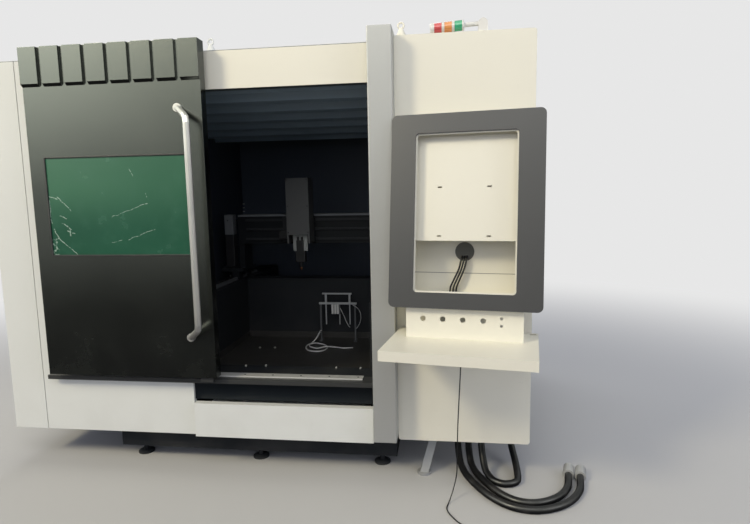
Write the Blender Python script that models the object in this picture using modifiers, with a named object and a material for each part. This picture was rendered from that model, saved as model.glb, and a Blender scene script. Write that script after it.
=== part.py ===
"""Enclosed small-format fiber laser cutting machine with its operator console.

Metres, +Z up. The machine faces -Y. Every piece hangs from the empty "machine", whose own
zero is the front panel plane in Y, the middle of the body in X and the floor in Z.
"""
import math

import bmesh
import bpy
from mathutils import Matrix, Vector

# Overall envelope
BODY_WIDTH = 2.525
BODY_DEPTH = 1.800
ROOF_HEIGHT = 1.960
CONSOLE_HEIGHT = 1.980
CONSOLE_WIDTH = 0.587
SKIRT_HEIGHT = 0.184
CONSOLE_SKIRT = 0.197
SHEET = 0.003
FLANGE = 0.025
SEAM = 0.004
FIT = 0.0003
OVERLAP = 0.001

# Front of the body
COLUMN_WIDTH = 0.176
PILLAR_WIDTH = 0.103
PILLAR_PROUD = 0.0935
PILLAR_BOTTOM = 0.221
PILLAR_ABOVE_ROOF = 0.040
OPENING_FROM_LEFT = 1.047
HEADER_BOTTOM = 1.794
HEADER_DEPTH = 0.050
SILL_HEIGHT = 0.475
SILL_LIP = 0.020
SILL_PROUD = 0.040
SILL_BACK = 0.050
SILL_END_INSET = 0.2325
STRIP_WIDTH = 0.045
STRIP_THICKNESS = 0.006
STRIP_END_GAP = 0.060
RECESS_SETBACK = 0.012
DRAWER_TOP = 0.354
DRAWER_PROUD = 0.037
DRAWER_SIDE_GAP = 0.015
DRAWER_FROM_BEAM = 0.160
DRAWER_REACH = 0.930
DRAWER_TRAVEL = 0.600
LOWER_LEFT_INSET = 0.0895

# Bed weldment
BASE_LEFT_INSET = 0.5125
BASE_HEIGHT = 0.190
BASE_BOTTOM = 0.070
BASE_FRONT = 0.087
BASE_REAR_INSET = 0.090
FOOT_RADIUS = 0.040
FOOT_THICKNESS = 0.016
FOOT_STEM_RADIUS = 0.012
FOOT_INSET = 0.080
OUTRIGGER_THICKNESS = 0.050
BEAM_WIDTH = 0.140
BEAM_TOP = 0.790
BEAM_FRONT = 0.220
BEAM_REAR = 1.660
BEAM_FROM_LEFT = 0.8725
BEAM_TO_CONSOLE = 0.0155
CROSS_FRONT_FACE = 0.060
CROSS_FRONT_DEPTH = 0.180
CROSS_FRONT_HEIGHT = 0.098
CROSS_REAR_FACE = 1.000
CROSS_REAR_DEPTH = 0.120
FLOOR_HEIGHT = 0.400
FLOOR_RIM = 0.040
CHUTE_FRONT_GAP = 0.014
CHUTE_DEPTH = 0.110
CHUTE_SIDE_GAP = 0.080

# Partition, ceiling and rear
PARTITION_FROM_LEFT = 0.5625
CEILING_LENGTH = 1.270
CEILING_SLOPE = math.radians(4.4)
CEILING_RIBS = 6
CEILING_RIB_DEPTH = 0.036
END_COVER_RETURN = 0.060
COVER_PROUD = 0.004
COVER_WIDTH = 0.620
COVER_HEIGHT = 0.860
COVER_SILL = 0.520
LOUVRE_COUNT = 6
LOUVRE_PITCH = 0.030
LOUVRE_SLOT = 0.008
DUCT_RADIUS = 0.075
DUCT_WALL = 0.003
DUCT_LENGTH = 0.060
DUCT_HEIGHT = 0.270

# Sliding door
DOOR_WIDTH = 0.834
DOOR_BOTTOM = 0.497
DOOR_ABOVE_ROOF = 0.030
DOOR_FRONT = -0.084
DOOR_DEPTH = 0.048
DOOR_OPEN_LEFT = 0.280
DOOR_TRAVEL = 0.720
TOOTH_COUNT = 8
TOOTH_GAP = 0.022
TOOTH_HEIGHT = 0.170
TOOTH_PROUD = 0.012
TOOTH_CHAMFER = 0.012
WINDOW_MARGIN = 0.071
WINDOW_BOTTOM = 1.062
WINDOW_FROM_TOP = 0.478
WINDOW_OVERLAP = 0.014
WINDOW_THICKNESS = 0.005
HANDLE_RADIUS = 0.0145
HANDLE_BOSS_RADIUS = 0.0185
HANDLE_BOSS_LENGTH = 0.014
HANDLE_OFFSET = 0.075
HANDLE_FROM_EDGE = 0.106
HANDLE_SHIFT = 0.068
HANDLE_LOW = 0.689
HANDLE_FROM_TOP = 0.285
HANDLE_LEG_RISE = 0.051
HANDLE_BEND = 0.22
TRACK_Y = 0.049
TRACK_WIDTH = 0.008
TRACK_HEIGHT = 0.012
TRACK_LEFT_INSET = 0.220
ROLLER_RADIUS = 0.014
ROLLER_FLANGE = 0.003
ROLLER_WIDTH = 0.014
ROLLER_INSET = 0.120
AXLE_RADIUS = 0.005
HANGER_WIDTH = 0.070
HANGER_THICKNESS = 0.006
HANGER_CLEARANCE = 0.006
GUIDE_WIDTH = 0.060
GUIDE_THICKNESS = 0.020
GUIDE_RISE = 0.030

# Gantry, Y axis
RAIL_WIDTH = 0.020
RAIL_HEIGHT = 0.018
RAIL_FRONT = 0.260
RAIL_LENGTH = 1.040
RAIL_FROM_INNER = 0.050
GEAR_MODULE = 0.003
GEAR_TEETH = 14
FLANK_STEPS = 2
GEAR_BACKLASH = 0.0003
GEAR_WIDTH = 0.018
RACK_BODY = 0.014
RACK_WIDTH = 0.020
RACK_FROM_RAIL = 0.030
Y_RACK_FRONT = 0.450
Y_RACK_LENGTH = 0.670
GANTRY_FRONT = 0.970
GANTRY_DEPTH = 0.140
GANTRY_TOP = 1.205
GANTRY_HEIGHT = 0.185
RISER_WIDTH = 0.035
SHOE_HEIGHT = 0.845
SHOE_THICKNESS = 0.020
SHOE_LENGTH = 0.220
BLOCK_WIDTH = 0.044
BLOCK_LENGTH = 0.060
BLOCK_SKIRT = 0.013
GANTRY_TRAVEL_FRONT = 0.550
Y_MOTOR_SIZE = 0.060
Y_MOTOR_HEIGHT = 0.340
SHAFT_RADIUS = 0.007
SHAFT_CLEARANCE = 0.0004

# Carriage, X axis
X_RAIL_WIDTH = 0.015
X_RAIL_PROUD = 0.012
X_RAIL_LOW = 1.050
X_RAIL_HIGH = 1.170
X_RAIL_END_GAP = 0.020
X_RACK_HEIGHT = 1.105
X_RACK_PROUD = 0.014
X_GEAR_WIDTH = 0.011
CARRIAGE_THICKNESS = 0.015
CARRIAGE_STANDOFF = 0.035
CARRIAGE_WIDTH = 0.200
CARRIAGE_FROM_BEAM = 0.375
CARRIAGE_BOTTOM = 1.035
CARRIAGE_TOP = 1.195
X_BLOCK_LENGTH = 0.050
X_BLOCK_HEIGHT = 0.032
X_MOTOR_SIZE = 0.050
X_MOTOR_LENGTH = 0.085

# Z axis and head
HEAD_FROM_BEAM = 0.4045
COVER_BOX_WIDTH = 0.141
COVER_BOX_DEPTH = 0.118
COVER_BOX_BOTTOM = 1.085
COVER_BOX_TOP = 1.426
COVER_BOX_CHEEK = 0.052
COVER_BOX_WALL = 0.002
ACTUATOR_WIDTH = 0.110
ACTUATOR_DEPTH = 0.060
ACTUATOR_BOTTOM = 1.090
ACTUATOR_TOP = 1.400
Z_SLIDE_WIDTH = 0.090
Z_SLIDE_THICKNESS = 0.014
Z_SLIDE_BOTTOM = 0.985
Z_SLIDE_HEIGHT = 0.270
HEAD_BODY_WIDTH = 0.062
HEAD_BODY_DEPTH = 0.036
HEAD_BODY_TOP = 1.050
HEAD_BODY_BOTTOM = 0.915
HEAD_CONE_HEIGHT = 0.030
HEAD_CONE_TIP_RADIUS = 0.011
NOZZLE_HEIGHT = 0.018
NOZZLE_RADIUS = 0.008
NOZZLE_TIP_RADIUS = 0.003
HEAD_FITTING_RADIUS = 0.007
HEAD_FITTING_HEIGHT = 0.022
HEAD_FITTING_SPACING = 0.030

# Gas valve rack on the chip floor
RACK_FROM_BEAM = 0.420
RACK_SPAN = 0.240
RACK_Y = 0.930
RACK_POST = 0.010
RACK_BAR_HEIGHT = 0.642
RACK_TOP_HEIGHT = 0.700
RACK_TOP_INSET = 0.022
RACK_BAR = 0.012
RACK_FOOT_LENGTH = 0.060
RACK_ROD_RADIUS = 0.004
RACK_ROD_LENGTH = 0.135
RACK_KNOB_RADIUS = 0.007
GAS_CYLINDER_RADIUS = 0.0075
GAS_CYLINDER_LENGTH = 0.062
GAS_CYLINDER_PITCH = 0.017

# Laser source and electrical plate
SOURCE_WIDTH = 0.440
SOURCE_DEPTH = 0.560
SOURCE_HEIGHT = 0.178
SOURCE_FRONT = 0.560
SOURCE_FOOT = 0.020
SOURCE_FOOT_RADIUS = 0.018
DRIVE_PLATE_FRONT = 0.900
DRIVE_PLATE_THICKNESS = 0.004
DRIVE_PLATE_SIDE_GAP = 0.060
DRIVE_PLATE_HEIGHT = 1.200
DRIVE_COUNT = 4
DRIVE_WIDTH = 0.070
DRIVE_HEIGHT = 0.190
DRIVE_DEPTH = 0.150
DRIVE_PITCH = 0.110
DUCTING_SIZE = 0.045

# Console
CONSOLE_FRONT_DEPTH = 0.020
CONSOLE_CORNER = 0.012
CONSOLE_BASE_HEIGHT = 0.262
LEG_SIZE = 0.038
LEG_TOP_FROM_LEFT = 0.1865
LEG_TOP_SETBACK = 0.150
LEG_FOOT_FROM_LEFT = 0.1135
LEG_FOOT_SETBACK = 0.075
LEG_PAD_RADIUS = 0.032
LEG_PAD_THICKNESS = 0.012
GLAND_RADIUS = 0.024
GLAND_LENGTH = 0.030

# Operator unit, in its own frame: X along its width from the hinge axis, -Y outwards
SWING_FROM_LEFT = 0.0245
SWING_PROUD = 0.105
SWING_REST = math.radians(9.0)
LEAN = math.radians(8.06)
BEZEL_LEFT = -0.022
BEZEL_WIDTH = 0.601
BEZEL_BOTTOM = 0.866
BEZEL_HEIGHT = 0.776
BEZEL_FRONT_LOW = 0.120
BEZEL_THICKNESS = 0.010
BEZEL_CORNER = 0.022
SCREEN_WIDTH = 0.402
SCREEN_HEIGHT = 0.636
SCREEN_ABOVE_BEZEL = 0.063
SCREEN_CORNER = 0.014
SCREEN_RIM = 0.006
HOUSING_LEFT = 0.016
HOUSING_WIDTH = 0.545
HOUSING_BOTTOM = 0.885
HOUSING_TOP = 1.615
HOUSING_BACK = 0.085
HOUSING_WALL = 0.003
MONITOR_PLATE_SETBACK = 0.050
MONITOR_PLATE_BOTTOM = 1.128
MONITOR_PLATE_HEIGHT = 0.450
MONITOR_PLATE_RETURN = 0.015
SLOT_SPACING = 0.198
SLOT_SHIFT = 0.0185
SLOT_LENGTH = 0.018
SLOT_WIDTH = 0.006
SLOT_HEIGHT = 1.147
GROMMET_X = 0.262
GROMMET_HEIGHT = 1.073
GROMMET_RADIUS = 0.036
GROMMET_LIP = 0.004
CABLE_SLOT_LEFT = 0.185
CABLE_SLOT_WIDTH = 0.060
CABLE_SLOT_DEPTH = 0.024
CABLE_SPACING = 0.011
PANEL_LEFT = 0.045
PANEL_WIDTH = 0.464
PANEL_FRONT = 0.090
PANEL_DEPTH = 0.150
BUTTON_RADIUS = 0.011
BUTTON_FIRST = 0.115
BUTTON_SPACING = 0.080
BUTTON_COUNT = 4
BUTTON_HEIGHT = 0.818
SMALL_HOLE_RADIUS = 0.006
SMALL_HOLE_X = 0.425
SMALL_HOLE_SPACING = 0.030
TRAY_LEFT = -0.015
TRAY_WIDTH = 0.580
TRAY_TOP = 0.737
TRAY_LIP = 0.040
TRAY_BACK = 0.075
TRAY_REACH = 0.310
TRAY_WALL = 0.003
TRAY_NOTCH = 0.030
CORD_BOSS_RADIUS = 0.009
CORD_BOSS_LENGTH = 0.016
KNUCKLE_RADIUS = 0.012
KNUCKLE_LENGTH = 0.030
HINGE_PIN_RADIUS = 0.005
HINGE_LOW = 0.985
HINGE_HIGH = 1.485
HINGE_ARM = 0.020

# Signal lamp, folded down on the console roof
LAMP_FROM_LEFT = 0.3715
LAMP_Y = 0.030
LAMP_AXIS_HEIGHT = 0.038
LAMP_DROOP = math.radians(3.5)
LAMP_FOOT_RADIUS = 0.022
LAMP_FOOT_THICKNESS = 0.005
LAMP_EYE_RADIUS = 0.019
LAMP_EYE_WIDTH = 0.014
LAMP_EAR_THICKNESS = 0.004
LAMP_PIN_RADIUS = 0.003
LAMP_NECK_RADIUS = 0.009
LAMP_NECK_LENGTH = 0.075
LAMP_RADIUS = 0.0225
LAMP_LENS = 0.031
LAMP_SPACER = 0.011
LAMP_GROOVE = 0.0015
LAMP_CAP = 0.014

# Lifting eyes on the roofs: a pad, a cone and a ring; distances from the left side and the front
EYE_RING_RADIUS = 0.0125
EYE_WIRE_RADIUS = 0.0045
EYE_PAD_RADIUS = 0.024
EYE_PAD_HEIGHT = 0.014
EYE_CONE_RADIUS = 0.025
EYE_CONE_TIP = 0.008
EYE_CONE_HEIGHT = 0.038
EYE_SETBACK = 0.105
EYE_PLACES = (0.165, 1.090)
CONSOLE_EYE_FROM_LEFT = 0.0255
CONSOLE_EYE_SETBACK = 0.095

# Free cords: diameters, ends and where they leave the console and the operator unit
MONITOR_CABLE = 0.008
PANEL_CORD = 0.005
HOSE = 0.032
AIR_TUBE = 0.008
COUPLING_RADIUS = 0.024
COUPLING_LENGTH = 0.070
PLUG_LENGTH = 0.040
PLUG_WIDTH = 0.014
PLUG_HEIGHT = 0.010
HOSE_SPREAD = 0.8
LONG_GLAND_FROM_LEFT = 0.2995
LONG_GLAND_SETBACK = 0.235
LOOP_OUT_FROM_LEFT = 0.3845
LOOP_OUT_SETBACK = 0.165
LOOP_BACK_FROM_RIGHT = 0.0575
LOOP_BACK_SETBACK = 0.300
CORD_EXIT_X = 0.2538
CORD_EXIT_Y = 0.0402

# Places worked out from the sizes above
LEFT = -BODY_WIDTH / 2
RIGHT = BODY_WIDTH / 2
CONSOLE_LEFT = RIGHT - CONSOLE_WIDTH
PILLAR_LEFT = CONSOLE_LEFT - PILLAR_WIDTH
OPENING_LEFT = LEFT + OPENING_FROM_LEFT
LOWER_LEFT = OPENING_LEFT - LOWER_LEFT_INSET
COVER_TOP = ROOF_HEIGHT - SHEET - FIT
BEAM_RIGHT_INNER = CONSOLE_LEFT - BEAM_TO_CONSOLE - BEAM_WIDTH
BEAM_LEFT_INNER = LEFT + BEAM_FROM_LEFT
CARRIAGE_CENTRE = BEAM_LEFT_INNER + CARRIAGE_FROM_BEAM
HEAD_CENTRE = BEAM_LEFT_INNER + HEAD_FROM_BEAM
RACK_LEFT = BEAM_RIGHT_INNER - RACK_FROM_BEAM
BASE_LEFT = LEFT + BASE_LEFT_INSET
BASE_RIGHT = BEAM_RIGHT_INNER + BEAM_WIDTH
CROSS_FRONT_TOP = SILL_HEIGHT - SILL_LIP
CROSS_FRONT_REAR = CROSS_FRONT_FACE + CROSS_FRONT_DEPTH
DOOR_LEFT = LEFT + DOOR_OPEN_LEFT
DOOR_RIGHT = DOOR_LEFT + DOOR_WIDTH
DOOR_TOP = ROOF_HEIGHT + DOOR_ABOVE_ROOF
WINDOW_TOP = DOOR_TOP - WINDOW_FROM_TOP
HANDLE_HIGH = DOOR_TOP - HANDLE_FROM_TOP
PILLAR_TOP = ROOF_HEIGHT + PILLAR_ABOVE_ROOF
SWING_AXIS = (CONSOLE_LEFT + SWING_FROM_LEFT, -SWING_PROUD)
LAMP_X = CONSOLE_LEFT + LAMP_FROM_LEFT
PITCH_RADIUS = GEAR_MODULE * GEAR_TEETH / 2
LONG_GLAND_X = CONSOLE_LEFT + LONG_GLAND_FROM_LEFT
GLAND_PLACES = {
    "outer": (LONG_GLAND_X - HOSE_SPREAD * HOSE, LONG_GLAND_SETBACK),
    "inner": (LONG_GLAND_X + HOSE_SPREAD * HOSE, LONG_GLAND_SETBACK),
    "loop out": (CONSOLE_LEFT + LOOP_OUT_FROM_LEFT, LOOP_OUT_SETBACK),
    "loop back": (RIGHT - LOOP_BACK_FROM_RIGHT, LOOP_BACK_SETBACK),
}

SILVER = ("bright steel", (0.72, 0.72, 0.70), 0.28, 1.0)
WHITE = ("white powder coat", (0.83, 0.83, 0.81), 0.45, 0.0)
CREAM = ("console white", (0.85, 0.84, 0.79), 0.45, 0.0)
GREY = ("light grey powder coat", (0.62, 0.63, 0.63), 0.45, 0.0)
CHARCOAL = ("charcoal powder coat", (0.035, 0.038, 0.040), 0.40, 0.0)
BEZEL_GREY = ("bezel grey", (0.095, 0.095, 0.100), 0.45, 0.0)
DARK = ("dark interior paint", (0.030, 0.033, 0.038), 0.55, 0.0)
BED_PAINT = ("bed paint", (0.055, 0.060, 0.065), 0.60, 0.0)
GREEN = ("laser safe green", (0.030, 0.170, 0.110), 0.25, 0.0)
BLACK = ("black rubber", (0.020, 0.020, 0.022), 0.70, 0.0)
MOTOR = ("motor black", (0.030, 0.030, 0.032), 0.50, 0.0)
COVER_GREY = ("axis cover grey", (0.340, 0.350, 0.350), 0.50, 0.0)
COPPER = ("copper", (0.720, 0.350, 0.200), 0.30, 1.0)
LAMP_WHITE = ("lamp body", (0.780, 0.780, 0.740), 0.40, 0.0)
CLEAR_TUBE = ("pale tube", (0.700, 0.700, 0.680), 0.40, 0.0)
ZINC = ("zinc plate", (0.550, 0.560, 0.550), 0.45, 0.8)


def clear_scene():
    for item in list(bpy.data.objects):
        bpy.data.objects.remove(item, do_unlink=True)


def new_collection(name):
    made = bpy.data.collections.new(name)
    bpy.context.scene.collection.children.link(made)
    return made


def new_frame(name, location, parent=None, turn=0.0):
    frame = bpy.data.objects.new(name, None)
    PARTS.objects.link(frame)
    frame.location = location
    frame.rotation_euler = (0.0, 0.0, turn)
    frame.parent = parent
    return frame


def finish_of(entry):
    name, colour, roughness, metallic = entry
    made = bpy.data.materials.get(name)
    if made is None:
        made = bpy.data.materials.new(name)
        made.use_nodes = True
        shader = made.node_tree.nodes["Principled BSDF"]
        shader.inputs["Base Color"].default_value = (*colour, 1.0)
        shader.inputs["Roughness"].default_value = roughness
        shader.inputs["Metallic"].default_value = metallic
    return made


def put(name, mesh, location, turn=(0.0, 0.0, 0.0), parent=None, finish=None):
    made = bpy.data.objects.new(name, mesh)
    PARTS.objects.link(made)
    made.location = location
    made.rotation_euler = turn
    made.parent = parent or MACHINE
    if finish is not None:
        mesh.materials.append(finish_of(finish))
    return made


def mesh_from(work, name, smooth=None):
    mesh = bpy.data.meshes.new(name)
    work.to_mesh(mesh)
    work.free()
    if smooth is not None:
        mesh.shade_smooth()
        mesh.set_sharp_from_angle(angle=math.radians(smooth))
    return mesh


def soften(piece, width, segments=2):
    bevel = piece.modifiers.new("edges", "BEVEL")
    bevel.width = width
    bevel.segments = segments
    bevel.limit_method = "ANGLE"
    bevel.angle_limit = math.radians(40)
    return piece


def block(name, low, high, finish=None, parent=None, rounding=0.0):
    low, high = Vector(low), Vector(high)
    size = high - low
    work = bmesh.new()
    bmesh.ops.create_cube(work, size=1.0, matrix=Matrix.Diagonal((*size, 1.0)))
    made = put(name, mesh_from(work, name), (low + high) / 2, parent=parent, finish=finish)
    return soften(made, rounding) if rounding else made


def many_blocks(name, boxes, parent=None):
    work = bmesh.new()
    for low, high in boxes:
        low, high = Vector(low), Vector(high)
        place = Matrix.Translation((low + high) / 2) @ Matrix.Diagonal((*(high - low), 1.0))
        bmesh.ops.create_cube(work, size=1.0, matrix=place)
    return put(name, mesh_from(work, name), (0.0, 0.0, 0.0), parent=parent)


AXIS_TURN = {"X": (0.0, math.pi / 2, 0.0), "Y": (math.pi / 2, 0.0, 0.0), "Z": (0.0, 0.0, 0.0)}


def drum(name, centre, radius, length, axis="Z", finish=None, parent=None, sides=24, tip=None):
    work = bmesh.new()
    bmesh.ops.create_cone(work, cap_ends=True, segments=sides, radius1=radius,
                          radius2=radius if tip is None else tip, depth=length)
    mesh = mesh_from(work, name, smooth=35)
    return put(name, mesh, centre, AXIS_TURN[axis], parent, finish)


def turned(name, profile, location, axis="Z", finish=None, parent=None, steps=32, ring=False):
    """A turned piece: the profile's radius and height run down the outer side."""
    mesh = bpy.data.meshes.new(name)
    points = [(radius, 0.0, height) for radius, height in profile]
    edges = [(i, i + 1) for i in range(len(points) - 1)]
    if ring:
        edges.append((len(points) - 1, 0))
    mesh.from_pydata(points, edges, [])
    made = put(name, mesh, location, AXIS_TURN[axis], parent, finish)
    screw = made.modifiers.new("turn", "SCREW")
    screw.angle = math.tau
    screw.steps = steps
    screw.render_steps = steps
    screw.use_merge_vertices = True
    screw.merge_threshold = 0.00001
    screw.use_smooth_shade = False
    return made


def outline_mesh(name, loops, thickness):
    """A flat outline, with any holes in it, as a welded solid that is centred on its plane."""
    curve = bpy.data.curves.new(name, "CURVE")
    curve.dimensions = "2D"
    curve.fill_mode = "BOTH"
    curve.extrude = thickness / 2
    for loop in loops:
        spline = curve.splines.new("POLY")
        spline.points.add(len(loop) - 1)
        for point, (x, y) in zip(spline.points, loop):
            point.co = (x, y, 0.0, 1.0)
        spline.use_cyclic_u = True
    guide = bpy.data.objects.new(name + " outline", curve)
    bpy.context.scene.collection.objects.link(guide)
    graph = bpy.context.evaluated_depsgraph_get()
    mesh = bpy.data.meshes.new_from_object(guide.evaluated_get(graph))
    bpy.data.objects.remove(guide, do_unlink=True)
    work = bmesh.new()
    work.from_mesh(mesh)
    bmesh.ops.remove_doubles(work, verts=work.verts, dist=0.00001)
    work.to_mesh(mesh)
    work.free()
    mesh.name = name
    return mesh


FACING = {"front": (math.pi / 2, 0.0, 0.0), "side": (math.pi / 2, 0.0, math.pi / 2),
          "up": (0.0, 0.0, 0.0)}


def plate(name, loops, thickness, location, facing="front", finish=None, parent=None, smooth=None):
    mesh = outline_mesh(name, loops, thickness)
    if smooth is not None:
        mesh.shade_smooth()
        mesh.set_sharp_from_angle(angle=math.radians(smooth))
    turn = FACING[facing] if isinstance(facing, str) else facing
    return put(name, mesh, location, turn, parent, finish)


def rectangle(left, bottom, right, top):
    return [(left, bottom), (right, bottom), (right, top), (left, top)]


def rounded(left, bottom, right, top, radius, steps=5):
    corners = [(right - radius, top - radius, 0), (left + radius, top - radius, 1),
               (left + radius, bottom + radius, 2), (right - radius, bottom + radius, 3)]
    loop = []
    for x, y, quarter in corners:
        for step in range(steps + 1):
            angle = (quarter + step / steps) * math.pi / 2
            loop.append((x + radius * math.cos(angle), y + radius * math.sin(angle)))
    return loop


def circle(x, y, radius, sides=24):
    angles = [math.tau * i / sides for i in range(sides)]
    return [(x + radius * math.cos(a), y + radius * math.sin(a)) for a in angles]


def inset(loop, distance):
    """The same outline, counter-clockwise, with every edge moved in by the distance."""
    count = len(loop)
    lines = []
    for i in range(count):
        start, end = Vector(loop[i]), Vector(loop[(i + 1) % count])
        along = (end - start).normalized()
        lines.append((start + Vector((-along.y, along.x)) * distance, along))
    moved = []
    for i in range(count):
        (p, d), (q, e) = lines[i - 1], lines[i]
        cross = d.x * e.y - d.y * e.x
        if abs(cross) < 1e-9:
            moved.append(tuple(q))
            continue
        step = ((q.x - p.x) * e.y - (q.y - p.y) * e.x) / cross
        moved.append(tuple(p + d * step))
    return moved


def retire(tool):
    for home in list(tool.users_collection):
        home.objects.unlink(tool)
    CUTTERS.objects.link(tool)
    tool.hide_render = True
    tool.display_type = "WIRE"


def shape(piece, tool, operation):
    step = piece.modifiers.new(tool.name, "BOOLEAN")
    step.operation = operation
    step.object = tool
    retire(tool)
    return piece


def cut(piece, *tools):
    for tool in tools:
        shape(piece, tool, "DIFFERENCE")
    return piece


def join(piece, *tools):
    for tool in tools:
        shape(piece, tool, "UNION")
    return piece


def pan(name, loop, depth, wall, location, side=-1, facing="front", finish=None, parent=None):
    """A sheet with its edges folded back: side is the way the open side faces in the outline's frame."""
    turn = Matrix.Identity(3)
    if facing == "front":
        turn = Matrix.Rotation(math.pi / 2, 3, "X")
    inward = turn @ Vector((0.0, 0.0, side))
    base = Vector(location)
    body = plate(name, [loop], depth, base + inward * (depth / 2), facing, finish, parent)
    pocket = plate(name + " pocket", [inset(loop, wall)], depth,
                   base + inward * (depth / 2 + wall), facing, parent=parent)
    return cut(body, pocket)


def folded(name, profile, length, location, facing="side", thickness=SHEET, finish=None,
           parent=None):
    """A folded sheet: the profile is the middle of its thickness, run along the facing's axis."""
    work = bmesh.new()
    points = [work.verts.new((x, y, -length / 2)) for x, y in profile]
    edges = [work.edges.new(pair) for pair in zip(points, points[1:])]
    swept = bmesh.ops.extrude_edge_only(work, edges=edges)
    moved = [item for item in swept["geom"] if isinstance(item, bmesh.types.BMVert)]
    bmesh.ops.translate(work, verts=moved, vec=(0.0, 0.0, length))
    bmesh.ops.recalc_face_normals(work, faces=work.faces)
    made = put(name, mesh_from(work, name), location, FACING[facing], parent, finish)
    solid = made.modifiers.new("thickness", "SOLIDIFY")
    solid.thickness = thickness
    solid.offset = 0.0
    solid.use_even_offset = True
    return made


def smooth_route(points, step, lowest=0.0):
    """Points at an even spacing on a smooth curve through the route's own points."""
    route = [Vector(p) for p in points]
    padded = [route[0] * 2 - route[1], *route, route[-1] * 2 - route[-2]]
    fine = []
    for i in range(1, len(padded) - 2):
        a, b, c, d = padded[i - 1:i + 3]
        for k in range(24):
            t = k / 24
            fine.append(0.5 * (2 * b + (c - a) * t + (2 * a - 5 * b + 4 * c - d) * t * t
                               + (3 * b - a - 3 * c + d) * t ** 3))
    fine.append(route[-1])
    total = sum((q - p).length for p, q in zip(fine, fine[1:]))
    count = max(2, round(total / step))
    spaced, walked, goal = [fine[0]], 0.0, total / count
    for p, q in zip(fine, fine[1:]):
        reach = (q - p).length
        while walked + reach >= goal * len(spaced) and len(spaced) < count:
            spaced.append(p.lerp(q, (goal * len(spaced) - walked) / reach))
        walked += reach
    spaced.append(fine[-1])
    square = 0.3 * step
    spaced.insert(1, route[0] + (route[1] - route[0]).normalized() * square)
    spaced.insert(-1, route[-1] + (route[-2] - route[-1]).normalized() * square)
    return [Vector((point.x, point.y, max(point.z, lowest))) for point in spaced]


def tube(name, points, radius, finish, parent=None, resolution=2):
    curve = bpy.data.curves.new(name, "CURVE")
    curve.dimensions = "3D"
    curve.bevel_depth = radius
    curve.bevel_resolution = resolution
    curve.use_fill_caps = True
    spline = curve.splines.new("POLY")
    spline.points.add(len(points) - 1)
    for point, place in zip(spline.points, points):
        point.co = (*place, 1.0)
    made = bpy.data.objects.new(name, curve)
    PARTS.objects.link(made)
    made.parent = parent or MACHINE
    curve.materials.append(finish_of(finish))
    return made


def tube_as_mesh(source):
    """The same tube as a welded mesh, for a piece that is joined to others."""
    graph = bpy.context.evaluated_depsgraph_get()
    mesh = bpy.data.meshes.new_from_object(source.evaluated_get(graph))
    work = bmesh.new()
    work.from_mesh(mesh)
    bmesh.ops.remove_doubles(work, verts=work.verts, dist=0.00001)
    work.to_mesh(mesh)
    work.free()
    mesh.shade_smooth()
    mesh.set_sharp_from_angle(angle=math.radians(50))
    made = bpy.data.objects.new(source.name + " solid", mesh)
    PARTS.objects.link(made)
    made.parent = source.parent
    name = source.name
    bpy.data.objects.remove(source, do_unlink=True)
    made.name = name
    return made


def rack_outline(length, body):
    """A straight rack: teeth point to +Y, the pitch line is Y = 0, the back is Y = -body."""
    pitch = math.pi * GEAR_MODULE
    tip, root = 0.8 * GEAR_MODULE, 1.2 * GEAR_MODULE
    slope = math.tan(math.radians(20))
    count = int(length / pitch)
    start = -count * pitch / 2
    loop = [(start, -body)]
    loop.append((start + count * pitch, -body))
    for i in reversed(range(count)):
        middle = start + (i + 0.5) * pitch
        half = pitch / 4 - GEAR_BACKLASH / 2
        loop.append((middle + half + root * slope, -root))
        loop.append((middle + half - tip * slope, tip))
        loop.append((middle - half + tip * slope, tip))
        loop.append((middle - half - root * slope, -root))
    loop.insert(2, (start + count * pitch, -root))
    loop.append((start, -root))
    return loop


def pinion_outline():
    """An involute pinion with a gap, not a tooth, on its +X side."""
    base = PITCH_RADIUS * math.cos(math.radians(20))
    tip = PITCH_RADIUS + 0.95 * GEAR_MODULE
    root = PITCH_RADIUS - 1.05 * GEAR_MODULE
    tan20 = math.tan(math.radians(20))
    half = (math.pi / (2 * GEAR_TEETH) - GEAR_BACKLASH / (2 * PITCH_RADIUS)
            + tan20 - math.radians(20))
    flank = []
    for k in range(FLANK_STEPS + 1):
        radius = base + (tip - base) * k / FLANK_STEPS
        roll = math.sqrt((radius / base) ** 2 - 1)
        flank.append((radius, half - (roll - math.atan(roll))))
    loop = []
    for tooth in range(GEAR_TEETH):
        middle = (tooth + 0.5) * math.tau / GEAR_TEETH
        loop.append((root, middle - half - 0.02))
        loop += [(radius, middle - angle) for radius, angle in flank]
        loop += [(radius, middle + angle) for radius, angle in reversed(flank)]
        loop.append((root, middle + half + 0.02))
    return [(radius * math.cos(angle), radius * math.sin(angle)) for radius, angle in loop]


def foot(name, x, y):
    """A levelling foot: a round pad and its threaded stem, joined to the bed's base."""
    stem_top = BASE_BOTTOM + OVERLAP
    profile = [(0.0, stem_top), (FOOT_STEM_RADIUS, stem_top), (FOOT_STEM_RADIUS, FOOT_THICKNESS),
               (FOOT_RADIUS * 0.6, FOOT_THICKNESS), (FOOT_RADIUS, FOOT_THICKNESS / 2),
               (FOOT_RADIUS, 0.0), (0.0, 0.0)]
    return turned(name, profile, (x, y, 0.0), steps=20)


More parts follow.
